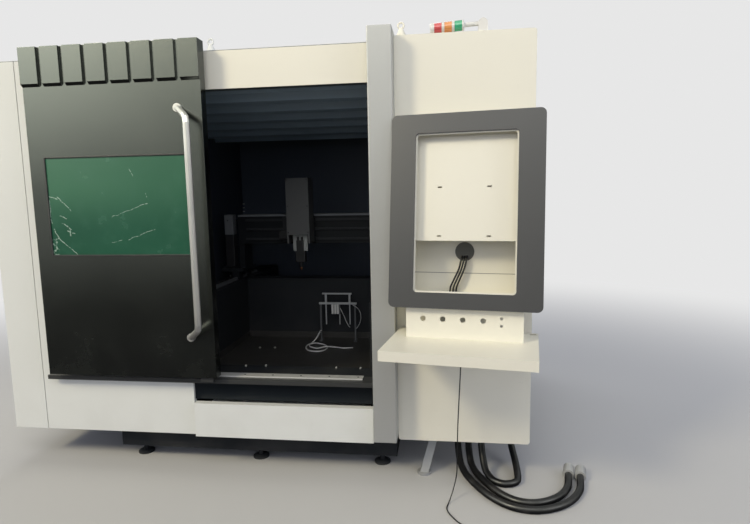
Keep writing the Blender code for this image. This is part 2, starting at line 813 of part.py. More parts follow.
def make_bed():
    rear = BODY_DEPTH - BASE_REAR_INSET
    bed = block("bed_frame", (BASE_LEFT, BASE_FRONT, BASE_BOTTOM), (BASE_RIGHT, rear, BASE_HEIGHT),
                BED_PAINT)
    low = BASE_HEIGHT - OVERLAP
    outrigger = block("bed outrigger", (LEFT + 2 * SHEET, CROSS_FRONT_FACE / 2, low),
                      (BASE_LEFT + BEAM_WIDTH, rear + CROSS_FRONT_FACE / 2,
                       BASE_HEIGHT + OUTRIGGER_THICKNESS))
    left_outer = BEAM_LEFT_INNER - BEAM_WIDTH
    right_outer = BEAM_RIGHT_INNER + BEAM_WIDTH
    beams = many_blocks("bed side beams", [
        ((left_outer, BEAM_FRONT, low), (BEAM_LEFT_INNER, BEAM_REAR, BEAM_TOP)),
        ((BEAM_RIGHT_INNER, BEAM_FRONT, low), (right_outer - OVERLAP, BEAM_REAR, BEAM_TOP))])
    rear_cross = block("bed rear cross", (BEAM_LEFT_INNER - OVERLAP, CROSS_REAR_FACE, low),
                       (BEAM_RIGHT_INNER + OVERLAP, CROSS_REAR_FACE + CROSS_REAR_DEPTH,
                        BEAM_TOP - FIT))
    front_cross = block("bed front cross",
                        (left_outer + OVERLAP, CROSS_FRONT_FACE, CROSS_FRONT_TOP - CROSS_FRONT_HEIGHT),
                        (right_outer - 2 * OVERLAP, CROSS_FRONT_REAR, CROSS_FRONT_TOP))
    join(bed, outrigger, beams, rear_cross, front_cross)
    middle = (BASE_LEFT + BASE_RIGHT) / 2
    number = 0
    for x in (BASE_LEFT + FOOT_INSET, middle, BASE_RIGHT - FOOT_INSET):
        for y in (BASE_FRONT + FOOT_INSET, rear - FOOT_INSET):
            number += 1
            join(bed, foot(f"levelling foot {number}", x, y))
    return bed


def make_chip_floor():
    left = BEAM_LEFT_INNER + FIT
    right = BEAM_RIGHT_INNER - FIT
    front = CROSS_FRONT_REAR + FIT
    rear = CROSS_REAR_FACE - FIT
    tray = pan("chip_floor", rectangle(left, front, right, rear), FLOOR_RIM, SHEET,
               (0.0, 0.0, FLOOR_HEIGHT), side=1, facing="up", finish=BED_PAINT)
    chute = block("chip chute", (left + CHUTE_SIDE_GAP, front + CHUTE_FRONT_GAP,
                                 FLOOR_HEIGHT - SHEET),
                  (right - CHUTE_SIDE_GAP, front + CHUTE_FRONT_GAP + CHUTE_DEPTH,
                   FLOOR_HEIGHT + 2 * SHEET))
    cut(tray, chute)


def make_left_end_cover():
    """One folded sheet: front return, left side and rear return."""
    middle = SHEET / 2
    front_end = LEFT + COLUMN_WIDTH - SEAM / 2 - middle
    profile = [(front_end, FLANGE), (front_end, middle), (LEFT + middle, middle),
               (LEFT + middle, BODY_DEPTH - middle),
               (LEFT + END_COVER_RETURN, BODY_DEPTH - middle)]
    height = COVER_TOP - SKIRT_HEIGHT
    folded("left_end_cover", profile, height, (0.0, 0.0, SKIRT_HEIGHT + height / 2),
           facing="up", finish=WHITE)


def make_left_front_panel():
    left = LEFT + COLUMN_WIDTH + SEAM / 2
    ledge = SILL_HEIGHT + FIT
    loop = [(left, SKIRT_HEIGHT), (LOWER_LEFT, SKIRT_HEIGHT), (LOWER_LEFT, ledge),
            (OPENING_LEFT, ledge), (OPENING_LEFT, COVER_TOP), (left, COVER_TOP)]
    pan("left_front_panel", loop, FLANGE, SHEET, (0.0, 0.0, 0.0), finish=WHITE)


def make_header():
    pan("header_band", rectangle(OPENING_LEFT + SEAM, HEADER_BOTTOM, PILLAR_LEFT - FIT, COVER_TOP),
        HEADER_DEPTH, SHEET, (0.0, 0.0, 0.0), finish=CREAM)


def make_pillar():
    block("pillar", (PILLAR_LEFT, -PILLAR_PROUD, PILLAR_BOTTOM),
          (CONSOLE_LEFT - FIT, CROSS_FRONT_FACE - FIT, PILLAR_TOP), GREY, rounding=0.004)


def make_roof():
    roof = block("roof_panel", (LEFT, 0.0, ROOF_HEIGHT - SHEET),
                 (PILLAR_LEFT - FIT, BODY_DEPTH, ROOF_HEIGHT), WHITE)
    beside = block("roof beside pillar", (PILLAR_LEFT - FIT - OVERLAP, CROSS_FRONT_FACE,
                                          ROOF_HEIGHT - SHEET),
                   (CONSOLE_LEFT - FIT, BODY_DEPTH, ROOF_HEIGHT))
    join(roof, beside)
    for number, place in enumerate(EYE_PLACES):
        join(roof, lifting_eye(f"roof eye {number}", LEFT + place, EYE_SETBACK, ROOF_HEIGHT))


def lifting_eye(name, x, y, base):
    """A lifting eye: pad, cone and ring, joined into one tool that is fused to a roof."""
    top = EYE_PAD_HEIGHT + EYE_CONE_HEIGHT
    profile = [(0.0, top), (EYE_CONE_TIP, top), (EYE_CONE_RADIUS, EYE_PAD_HEIGHT + SHEET),
               (EYE_PAD_RADIUS, EYE_PAD_HEIGHT), (EYE_PAD_RADIUS, -OVERLAP), (0.0, -OVERLAP)]
    foot_piece = turned(name + " foot", profile, (x, y, base), steps=20)
    loop = circle(EYE_RING_RADIUS, 0.0, EYE_WIRE_RADIUS, sides=8)
    ring = turned(name, list(reversed(loop)), (x, y, base + top + EYE_RING_RADIUS), "Y", steps=16,
                  ring=True)
    return join(foot_piece, ring)


def make_rear():
    left = LEFT + END_COVER_RETURN + SEAM
    step = CONSOLE_LEFT
    loop = [(left, SKIRT_HEIGHT), (RIGHT, SKIRT_HEIGHT), (RIGHT, CONSOLE_HEIGHT),
            (step, CONSOLE_HEIGHT), (step, COVER_TOP), (left, COVER_TOP)]
    rear = pan("rear_panel", loop, FLANGE, SHEET, (0.0, BODY_DEPTH, 0.0), side=1, finish=WHITE)
    top = COVER_SILL + COVER_HEIGHT
    slots = []
    for centre in ((LEFT + BASE_LEFT) / 2 + COVER_WIDTH / 4, (CONSOLE_LEFT + RIGHT) / 2):
        width = min(COVER_WIDTH, CONSOLE_WIDTH - 4 * FLANGE)
        lid = plate(f"rear cover {centre:.3f}",
                    [rounded(centre - width / 2, COVER_SILL, centre + width / 2, top, FLANGE / 2)],
                    COVER_PROUD + OVERLAP, (0.0, BODY_DEPTH + COVER_PROUD / 2, 0.0))
        join(rear, lid)
        for row in range(LOUVRE_COUNT):
            height = top - 4 * LOUVRE_PITCH - row * LOUVRE_PITCH
            slots.append(((centre - width / 3, BODY_DEPTH - 2 * SHEET, height),
                          (centre + width / 3, BODY_DEPTH + 2 * COVER_PROUD, height + LOUVRE_SLOT)))
    cut(rear, many_blocks("rear louvres", slots))
    duct_x = (BEAM_LEFT_INNER + BEAM_RIGHT_INNER) / 2
    duct_z = BEAM_TOP + DUCT_HEIGHT
    collar = drum("duct collar", (duct_x, BODY_DEPTH + DUCT_LENGTH / 2 - OVERLAP, duct_z),
                  DUCT_RADIUS, DUCT_LENGTH, "Y", sides=32)
    bore = drum("duct bore", (duct_x, BODY_DEPTH, duct_z), DUCT_RADIUS - DUCT_WALL,
                DUCT_LENGTH * 4, "Y", sides=32)
    join(rear, collar)
    cut(rear, bore)


def make_ceiling():
    """A ribbed ceiling sheet that falls gently to the rear."""
    pitch = CEILING_LENGTH / CEILING_RIBS
    profile = []
    for rib in range(CEILING_RIBS):
        start = rib * pitch
        profile += [(start, 0.0), (start + pitch * 0.30, 0.0),
                    (start + pitch * 0.42, CEILING_RIB_DEPTH),
                    (start + pitch * 0.88, CEILING_RIB_DEPTH)]
    profile.append((CEILING_LENGTH, 0.0))
    partition = LEFT + PARTITION_FROM_LEFT + SHEET
    width = CONSOLE_LEFT - partition - 2 * FIT
    base = HEADER_BOTTOM + SHEET
    made = folded("ceiling_ribs", profile, width,
                  (partition + FIT + width / 2, HEADER_DEPTH + 2 * FIT, base), finish=DARK)
    made.rotation_mode = "QUATERNION"
    tilt = Matrix.Rotation(-CEILING_SLOPE, 4, "X")
    made.rotation_quaternion = (tilt @ Matrix.Rotation(math.pi / 2, 4, "Z")
                                @ Matrix.Rotation(math.pi / 2, 4, "X")).to_quaternion()
    notch = block("ceiling notch", (PILLAR_LEFT - SEAM, 0.0, HEADER_BOTTOM),
                  (CONSOLE_LEFT + SEAM, CROSS_FRONT_FACE + SEAM, ROOF_HEIGHT))
    cut(made, notch)


def make_partition():
    left = LEFT + PARTITION_FROM_LEFT
    base = BASE_HEIGHT + OUTRIGGER_THICKNESS + FIT
    block("left_partition", (left, FLANGE + FIT, base),
          (left + SHEET, BODY_DEPTH - FLANGE - FIT, COVER_TOP), DARK)


def make_sill():
    top = SILL_HEIGHT
    rail_left = LEFT + SILL_END_INSET
    right = PILLAR_LEFT - FIT
    loop = [(rail_left, -SILL_PROUD), (right, -SILL_PROUD), (right, SILL_BACK),
            (LOWER_LEFT + FIT, SILL_BACK), (LOWER_LEFT + FIT, -FIT), (rail_left, -FIT)]
    ledge = plate("sill_ledge", [loop], SHEET, (0.0, 0.0, top - SHEET / 2), "up", GREY)
    lip = block("sill lip", (rail_left, -SILL_PROUD, top - SILL_LIP),
                (right, -SILL_PROUD + SHEET, top - OVERLAP))
    heel = block("sill heel", (LOWER_LEFT + FIT, SILL_BACK - SHEET, top - SILL_LIP + FIT),
                 (right, SILL_BACK, top - OVERLAP))
    foot_flange = block("sill foot", (LOWER_LEFT + FIT, SILL_BACK - OVERLAP,
                                      CROSS_FRONT_TOP + FIT),
                        (right, CROSS_FRONT_FACE + SHEET * 4, CROSS_FRONT_TOP + FIT + SHEET))
    guide_left = DOOR_RIGHT - GUIDE_WIDTH - DOOR_DEPTH / 2
    guide_y = DOOR_FRONT + DOOR_DEPTH / 2
    guide = block("door guide", (guide_left, guide_y - GUIDE_THICKNESS / 2, top - SHEET),
                  (guide_left + GUIDE_WIDTH, guide_y + GUIDE_THICKNESS / 2, top + GUIDE_RISE))
    carrier = block("door guide arm", (guide_left, guide_y - GUIDE_THICKNESS / 2, top - SHEET),
                    (guide_left + GUIDE_WIDTH, -SILL_PROUD + OVERLAP, top - FIT))
    join(ledge, lip, heel, foot_flange, carrier, guide)
    block("sill_strip", (OPENING_LEFT + SEAM, 0.0, top + FIT),
          (right - STRIP_END_GAP, STRIP_WIDTH, top + FIT + STRIP_THICKNESS), SILVER)


def make_recess():
    loop = rectangle(LOWER_LEFT + FIT, DRAWER_TOP + SEAM, PILLAR_LEFT - FIT,
                     CROSS_FRONT_TOP - 2 * FIT)
    pan("recess_panel", loop, CROSS_FRONT_FACE - RECESS_SETBACK - FIT, SHEET,
        (0.0, RECESS_SETBACK, 0.0), finish=CHARCOAL)


def make_drawer():
    front_left = LOWER_LEFT + DRAWER_SIDE_GAP
    front_right = PILLAR_LEFT - 2 * SEAM
    bottom = BASE_HEIGHT + FIT
    drawer = pan("scrap_drawer", rectangle(front_left, bottom, front_right, DRAWER_TOP),
                 DRAWER_PROUD - SHEET, SHEET, (0.0, -DRAWER_PROUD, 0.0), finish=WHITE)
    left = BEAM_LEFT_INNER + DRAWER_FROM_BEAM
    right = BEAM_RIGHT_INNER - DRAWER_SIDE_GAP
    top = CROSS_FRONT_TOP - CROSS_FRONT_HEIGHT - DRAWER_SIDE_GAP
    box = block("drawer box", (left, -DRAWER_PROUD + OVERLAP, bottom), (right, DRAWER_REACH, top))
    join(drawer, box)
    hollow = block("drawer hollow", (left + SHEET, -DRAWER_PROUD + SHEET, bottom + SHEET),
                   (right - SHEET, DRAWER_REACH - SHEET, top + SEAM))
    cut(drawer, hollow)
    drawer.parent = DRAWER_FRAME


def make_door():
    loop = rectangle(DOOR_LEFT, DOOR_BOTTOM, DOOR_RIGHT, DOOR_TOP)
    leaf = pan("door_leaf", loop, DOOR_DEPTH, SHEET, (0.0, DOOR_FRONT, 0.0), finish=CHARCOAL,
               parent=DOOR_FRAME)
    width = (DOOR_WIDTH - TOOTH_GAP * (TOOTH_COUNT - 1)) / TOOTH_COUNT
    side = [(OVERLAP, DOOR_TOP - TOOTH_HEIGHT), (OVERLAP, DOOR_TOP), (-TOOTH_PROUD, DOOR_TOP),
            (-TOOTH_PROUD, DOOR_TOP - TOOTH_HEIGHT + TOOTH_CHAMFER),
            (0.0, DOOR_TOP - TOOTH_HEIGHT)]
    for number in range(TOOTH_COUNT):
        x = DOOR_LEFT + width / 2 + number * (width + TOOTH_GAP)
        tooth = plate(f"door tooth {number}", [side], width, (x, DOOR_FRONT, 0.0), "side",
                      parent=DOOR_FRAME)
        join(leaf, tooth)
    window_left = DOOR_LEFT + WINDOW_MARGIN
    window_right = DOOR_RIGHT - WINDOW_MARGIN
    opening = plate("window opening",
                    [rounded(window_left, WINDOW_BOTTOM, window_right, WINDOW_TOP, 2 * SHEET, 3)],
                    2 * DOOR_DEPTH, (0.0, DOOR_FRONT, 0.0), parent=DOOR_FRAME)
    guide_slot = block("door guide slot",
                       (DOOR_LEFT + SHEET, DOOR_FRONT + SHEET, DOOR_BOTTOM - SHEET),
                       (DOOR_RIGHT - SHEET, DOOR_FRONT + DOOR_DEPTH - SHEET, DOOR_BOTTOM + 2 * SHEET),
                       parent=DOOR_FRAME)
    cut(leaf, opening, guide_slot)
    back = DOOR_FRONT + SHEET + FIT
    block("door_window", (window_left - WINDOW_OVERLAP, back, WINDOW_BOTTOM - WINDOW_OVERLAP),
          (window_right + WINDOW_OVERLAP, back + WINDOW_THICKNESS, WINDOW_TOP + WINDOW_OVERLAP),
          GREEN, parent=DOOR_FRAME)
    make_door_hangers(leaf)
    make_door_handle()


def make_door_hangers(leaf):
    """Two arms over the roof edge, each with an ear and an axle for a roller."""
    arm_low = ROOF_HEIGHT + HANGER_CLEARANCE
    axle_height = ROOF_HEIGHT + FIT + TRACK_HEIGHT + ROLLER_RADIUS + FIT
    ear_y = TRACK_Y - ROLLER_WIDTH / 2 - FIT - HANGER_THICKNESS
    for number, x in enumerate((DOOR_LEFT + ROLLER_INSET, DOOR_RIGHT - ROLLER_INSET)):
        arm = block(f"hanger arm {number}",
                    (x - HANGER_WIDTH / 2, DOOR_FRONT + OVERLAP, arm_low),
                    (x + HANGER_WIDTH / 2, ear_y + HANGER_THICKNESS, arm_low + HANGER_THICKNESS),
                    parent=DOOR_FRAME)
        ear = block(f"hanger ear {number}", (x - HANGER_WIDTH / 4, ear_y, arm_low),
                    (x + HANGER_WIDTH / 4, ear_y + HANGER_THICKNESS,
                     axle_height + 2 * AXLE_RADIUS), parent=DOOR_FRAME)
        axle_length = HANGER_THICKNESS + ROLLER_WIDTH + 2 * FIT + AXLE_RADIUS
        axle = drum(f"roller axle {number}", (x, ear_y + axle_length / 2, axle_height),
                    AXLE_RADIUS, axle_length, "Y", parent=DOOR_FRAME, sides=16)
        join(leaf, arm, ear, axle)
        outer = ROLLER_RADIUS + ROLLER_FLANGE
        half = ROLLER_WIDTH / 2
        tread = TRACK_WIDTH / 2 + FIT
        bore = AXLE_RADIUS + FIT
        profile = [(bore, half), (outer, half), (outer, tread), (ROLLER_RADIUS, tread),
                   (ROLLER_RADIUS, -tread), (outer, -tread), (outer, -half), (bore, -half)]
        roller_frame = new_frame(f"roller_axis_{number}", (x, TRACK_Y, axle_height), DOOR_FRAME)
        turned("door_roller_left" if number == 0 else "door_roller_right", profile,
               (0.0, 0.0, 0.0), "Y", SILVER, roller_frame, steps=16, ring=True)
    block("door_track", (LEFT + TRACK_LEFT_INSET, TRACK_Y - TRACK_WIDTH / 2, ROOF_HEIGHT + FIT),
          (PILLAR_LEFT - SEAM, TRACK_Y + TRACK_WIDTH / 2, ROOF_HEIGHT + FIT + TRACK_HEIGHT), SILVER)


def make_door_handle():
    """A long stainless tube on two inclined legs with round bosses."""
    boss_x = DOOR_RIGHT - HANDLE_FROM_EDGE
    tube_x = boss_x + HANDLE_SHIFT
    tube_y = DOOR_FRONT - HANDLE_OFFSET
    face = DOOR_FRONT - FIT
    low, high = HANDLE_LOW + HANDLE_LEG_RISE, HANDLE_HIGH - HANDLE_LEG_RISE
    lower_boss = Vector((boss_x, face - HANDLE_BOSS_LENGTH / 2, HANDLE_LOW))
    upper_boss = Vector((boss_x, face - HANDLE_BOSS_LENGTH / 2, HANDLE_HIGH))
    lower_knee = Vector((tube_x, tube_y, low))
    upper_knee = Vector((tube_x, tube_y, high))
    path = [lower_boss, lower_boss.lerp(lower_knee, 1 - HANDLE_BEND),
            lower_knee.lerp(lower_boss, HANDLE_BEND / 4) + Vector((0.0, 0.0, HANDLE_RADIUS / 4)),
            lower_knee + Vector((0.0, 0.0, HANDLE_RADIUS * 1.5)),
            upper_knee - Vector((0.0, 0.0, HANDLE_RADIUS * 1.5)),
            upper_knee.lerp(upper_boss, HANDLE_BEND / 4) - Vector((0.0, 0.0, HANDLE_RADIUS / 4)),
            upper_boss.lerp(upper_knee, 1 - HANDLE_BEND), upper_boss]
    grip = tube_as_mesh(tube("door_handle", path, HANDLE_RADIUS, SILVER, DOOR_FRAME, resolution=4))
    for number, z in enumerate((HANDLE_LOW, HANDLE_HIGH)):
        boss = drum(f"handle boss {number}", (boss_x, face - HANDLE_BOSS_LENGTH / 2, z),
                    HANDLE_BOSS_RADIUS, HANDLE_BOSS_LENGTH, "Y", parent=DOOR_FRAME, sides=24)
        join(grip, boss)
    flush = block("handle flush", (boss_x - 4 * HANDLE_RADIUS, face, HANDLE_LOW - 4 * HANDLE_RADIUS),
                  (boss_x + 4 * HANDLE_RADIUS, face + 4 * HANDLE_RADIUS,
                   HANDLE_HIGH + 4 * HANDLE_RADIUS), parent=DOOR_FRAME)
    cut(grip, flush)


def side_places(sign):
    """X places of one side of the Y axis: -1 for the left beam, +1 for the right."""
    inner = BEAM_LEFT_INNER if sign < 0 else BEAM_RIGHT_INNER
    rail = inner + sign * RAIL_FROM_INNER
    pitch_line = rail + sign * (RACK_FROM_RAIL + RACK_BODY)
    return inner, rail, pitch_line, pitch_line + sign * PITCH_RADIUS


def make_y_axis(name, sign, bed):
    inner, rail, pitch_line, gear_x = side_places(sign)
    join(bed, block(f"y rail {name}", (rail - RAIL_WIDTH / 2, RAIL_FRONT, BEAM_TOP - OVERLAP),
                    (rail + RAIL_WIDTH / 2, RAIL_FRONT + RAIL_LENGTH,
                     BEAM_TOP + FIT + RAIL_HEIGHT)))
    middle = Y_RACK_FRONT + Y_RACK_LENGTH / 2
    gear_y = GANTRY_FRONT + GANTRY_DEPTH / 2
    pitch = math.pi * GEAR_MODULE
    count = int(Y_RACK_LENGTH / pitch)
    phase = (gear_y - middle) / pitch + (count - 1) / 2
    shift = (phase - math.floor(phase)) * pitch
    rack = plate(f"y_rack_{name}", [rack_outline(Y_RACK_LENGTH, RACK_BODY)], RACK_WIDTH,
                 (pitch_line, middle + shift, BEAM_TOP + FIT + RACK_WIDTH / 2), "up", SILVER)
    rack.rotation_euler = (0.0, 0.0, math.pi / 2 if sign < 0 else -math.pi / 2)
    gear_low = BEAM_TOP + FIT + RACK_WIDTH - GEAR_WIDTH
    axis = new_frame(f"y_pinion_axis_{name}", (gear_x, gear_y, 0.0), GANTRY_FRAME)
    pinion = plate(f"y_pinion_{name}", [pinion_outline()], GEAR_WIDTH,
                   (0.0, 0.0, gear_low + GEAR_WIDTH / 2), "up", SILVER, axis)
    pinion.rotation_euler = (0.0, 0.0, 0.0 if sign < 0 else math.pi)
    bore = drum(f"pinion bore {name}", (0.0, 0.0, gear_low + GEAR_WIDTH / 2), SHAFT_RADIUS + FIT,
                GEAR_WIDTH * 2, parent=axis, sides=16)
    cut(pinion, bore)
    half = Y_MOTOR_SIZE / 2
    base = SHOE_HEIGHT + SHOE_THICKNESS + FIT
    motor = block(f"y_motor_{name}", (gear_x - half, gear_y - half, base),
                  (gear_x + half, gear_y + half, base + Y_MOTOR_HEIGHT), MOTOR,
                  parent=GANTRY_FRAME, rounding=0.004)
    shaft_low = gear_low
    shaft = drum(f"motor shaft {name}", (gear_x, gear_y, (shaft_low + base + half) / 2),
                 SHAFT_RADIUS, base + half - shaft_low, parent=GANTRY_FRAME, sides=16)
    join(motor, shaft)


def make_gantry():
    left_riser = BEAM_LEFT_INNER - RISER_WIDTH
    right_riser = BEAM_RIGHT_INNER + RISER_WIDTH
    bottom = GANTRY_TOP - GANTRY_HEIGHT
    rear = GANTRY_FRONT + GANTRY_DEPTH
    beam = block("gantry_beam", (left_riser, GANTRY_FRONT, bottom), (right_riser, rear, GANTRY_TOP),
                 COVER_GREY, parent=GANTRY_FRAME)
    shoe_top = SHOE_HEIGHT + SHOE_THICKNESS
    middle = GANTRY_FRONT + GANTRY_DEPTH / 2
    pieces = []
    for sign in (-1, 1):
        inner, rail, pitch_line, gear_x = side_places(sign)
        near = inner if sign < 0 else inner + RISER_WIDTH
        pieces.append(((near - RISER_WIDTH, GANTRY_FRONT, SHOE_HEIGHT + OVERLAP),
                       (near, rear, bottom + OVERLAP)))
        outer = gear_x + sign * Y_MOTOR_SIZE / 2
        low_x, high_x = min(inner, outer), max(inner, outer)
        pieces.append(((low_x, middle - SHOE_LENGTH / 2, SHOE_HEIGHT),
                       (high_x, middle + SHOE_LENGTH / 2, shoe_top)))
        rail_top = BEAM_TOP + FIT + RAIL_HEIGHT
        for y in (middle - SHOE_LENGTH / 2, middle + SHOE_LENGTH / 2 - BLOCK_LENGTH):
            pieces.append(((rail - BLOCK_WIDTH / 2, y, rail_top + FIT),
                           (rail + BLOCK_WIDTH / 2, y + BLOCK_LENGTH, SHOE_HEIGHT + OVERLAP)))
            for edge in (-1, 1):
                inside = rail + edge * (RAIL_WIDTH / 2 + FIT)
                outside = rail + edge * BLOCK_WIDTH / 2
                pieces.append(((min(inside, outside), y, rail_top - BLOCK_SKIRT),
                               (max(inside, outside), y + BLOCK_LENGTH, rail_top + 2 * OVERLAP)))
    for number, (low, high) in enumerate(pieces):
        join(beam, block(f"gantry piece {number}", low, high, parent=GANTRY_FRAME))
    for sign in (-1, 1):
        inner, rail, pitch_line, gear_x = side_places(sign)
        hole = drum(f"shoe hole {sign}", (gear_x, middle, shoe_top), SHAFT_RADIUS + FIT,
                    SHOE_THICKNESS * 4, parent=GANTRY_FRAME, sides=16)
        cut(beam, hole)
    length = BEAM_RIGHT_INNER - BEAM_LEFT_INNER
    pitch = math.pi * GEAR_MODULE
    count = int((length - 2 * X_RAIL_END_GAP) / pitch)
    centre = (BEAM_RIGHT_INNER + BEAM_LEFT_INNER) / 2
    gear_x = x_gear_place()
    phase = (gear_x - centre) / pitch + (count - 1) / 2
    shift = (phase - math.floor(phase)) * pitch
    rack = plate("x rack", [rack_outline(length - 2 * X_RAIL_END_GAP, RACK_BODY)],
                 X_RACK_PROUD + OVERLAP,
                 (centre + shift, GANTRY_FRONT - X_RACK_PROUD / 2 + OVERLAP / 2, X_RACK_HEIGHT),
                 (-math.pi / 2, 0.0, 0.0), parent=GANTRY_FRAME)
    join(beam, rack)
    rails = [((BEAM_LEFT_INNER + X_RAIL_END_GAP, GANTRY_FRONT - X_RAIL_PROUD, z - X_RAIL_WIDTH / 2),
              (BEAM_RIGHT_INNER - X_RAIL_END_GAP, GANTRY_FRONT + OVERLAP, z + X_RAIL_WIDTH / 2))
             for z in (X_RAIL_LOW, X_RAIL_HIGH)]
    join(beam, many_blocks("x rails", rails, parent=GANTRY_FRAME))


def x_gear_place():
    return CARRIAGE_CENTRE - CARRIAGE_WIDTH / 2 + X_MOTOR_SIZE / 2


def make_carriage():
    left = CARRIAGE_CENTRE - CARRIAGE_WIDTH / 2
    right = CARRIAGE_CENTRE + CARRIAGE_WIDTH / 2
    back = GANTRY_FRONT - CARRIAGE_STANDOFF
    front = back - CARRIAGE_THICKNESS
    carriage = block("x_carriage", (left, front, CARRIAGE_BOTTOM), (right, back, CARRIAGE_TOP),
                     COVER_GREY, parent=CARRIAGE_FRAME)
    rail_face = GANTRY_FRONT - X_RAIL_PROUD - FIT
    pieces = []
    for z in (X_RAIL_LOW, X_RAIL_HIGH):
        for x in (left, right - X_BLOCK_LENGTH):
            pieces.append(((x, back - OVERLAP, z - X_BLOCK_HEIGHT / 2),
                           (x + X_BLOCK_LENGTH, rail_face, z + X_BLOCK_HEIGHT / 2)))
    blocks = many_blocks("x bearing blocks", pieces, parent=CARRIAGE_FRAME)
    gear_x = x_gear_place()
    gear_z = X_RACK_HEIGHT - PITCH_RADIUS
    hole = drum("x shaft hole", (gear_x, back, gear_z), SHAFT_RADIUS + FIT,
                CARRIAGE_THICKNESS * 4, "Y", parent=CARRIAGE_FRAME, sides=16)
    relief = drum("x pinion relief", (gear_x, GANTRY_FRONT - CARRIAGE_STANDOFF / 2, gear_z),
                  PITCH_RADIUS + 2 * GEAR_MODULE, CARRIAGE_STANDOFF, "Y",
                  parent=CARRIAGE_FRAME, sides=32)
    join(carriage, blocks)
    cut(carriage, hole, relief)
    half = X_MOTOR_SIZE / 2
    motor = block("x_motor", (gear_x - half, front - FIT - X_MOTOR_LENGTH, gear_z - half),
                  (gear_x + half, front - FIT, gear_z + half), MOTOR, parent=CARRIAGE_FRAME,
                  rounding=0.004)
    gear_rear = GANTRY_FRONT - FIT
    gear_front = gear_rear - X_GEAR_WIDTH
    shaft_front = front - half
    shaft = drum("x motor shaft", (gear_x, (shaft_front + gear_rear) / 2, gear_z), SHAFT_RADIUS,
                 gear_rear - shaft_front, "Y", parent=CARRIAGE_FRAME, sides=16)
    join(motor, shaft)
    axis = new_frame("x_pinion_axis", (gear_x, 0.0, gear_z), CARRIAGE_FRAME)
    pinion = plate("x_pinion", [pinion_outline()], X_GEAR_WIDTH,
                   (0.0, (gear_front + gear_rear) / 2, 0.0), "front", SILVER, axis)
    pinion.rotation_euler = (math.pi / 2, -math.pi / 2, 0.0)
    bore = drum("x pinion bore", (0.0, (gear_front + gear_rear) / 2, 0.0), SHAFT_RADIUS + FIT,
                X_GEAR_WIDTH * 3, "Y", parent=axis, sides=16)
    cut(pinion, bore)
    make_z_axis(front)


def make_z_axis(carriage_face):
    half = ACTUATOR_WIDTH / 2
    rear = carriage_face - FIT
    front = rear - ACTUATOR_DEPTH
    block("z_actuator", (HEAD_CENTRE - half, front, ACTUATOR_BOTTOM),
          (HEAD_CENTRE + half, rear, ACTUATOR_TOP), MOTOR, parent=CARRIAGE_FRAME, rounding=0.003)
    cover_half = COVER_BOX_WIDTH / 2
    cover_front = rear - COVER_BOX_DEPTH
    cheek_low = COVER_BOX_BOTTOM - COVER_BOX_CHEEK
    cover = block("z_cover", (HEAD_CENTRE - cover_half, cover_front, cheek_low),
                  (HEAD_CENTRE + cover_half, rear, COVER_BOX_TOP), COVER_GREY,
                  parent=CARRIAGE_FRAME, rounding=0.003)
    inner = cover_half - COVER_BOX_WALL
    hollow = block("z cover hollow",
                   (HEAD_CENTRE - inner, cover_front + COVER_BOX_WALL, cheek_low - SEAM),
                   (HEAD_CENTRE + inner, rear + SEAM, COVER_BOX_TOP - COVER_BOX_WALL),
                   parent=CARRIAGE_FRAME)
    notch_half = cover_half - COVER_BOX_CHEEK / 5
    notch = block("z cover notch", (HEAD_CENTRE - notch_half, cover_front - SEAM, cheek_low - SEAM),
                  (HEAD_CENTRE + notch_half, cover_front + 2 * SEAM, COVER_BOX_BOTTOM),
                  parent=CARRIAGE_FRAME)
    motor_gap = block("z cover motor gap",
                      (HEAD_CENTRE - cover_half - SEAM, rear - 2 * SHEET, cheek_low - SEAM),
                      (HEAD_CENTRE - inner + SEAM, rear + SEAM, CARRIAGE_TOP + SEAM),
                      parent=CARRIAGE_FRAME)
    cut(cover, hollow, notch, motor_gap)
    slide_rear = front - FIT
    slide_front = slide_rear - Z_SLIDE_THICKNESS
    block("z_slide", (HEAD_CENTRE - Z_SLIDE_WIDTH / 2, slide_front, Z_SLIDE_BOTTOM),
          (HEAD_CENTRE + Z_SLIDE_WIDTH / 2, slide_rear, Z_SLIDE_BOTTOM + Z_SLIDE_HEIGHT), ZINC,
          parent=HEAD_FRAME)
    make_head(slide_rear)


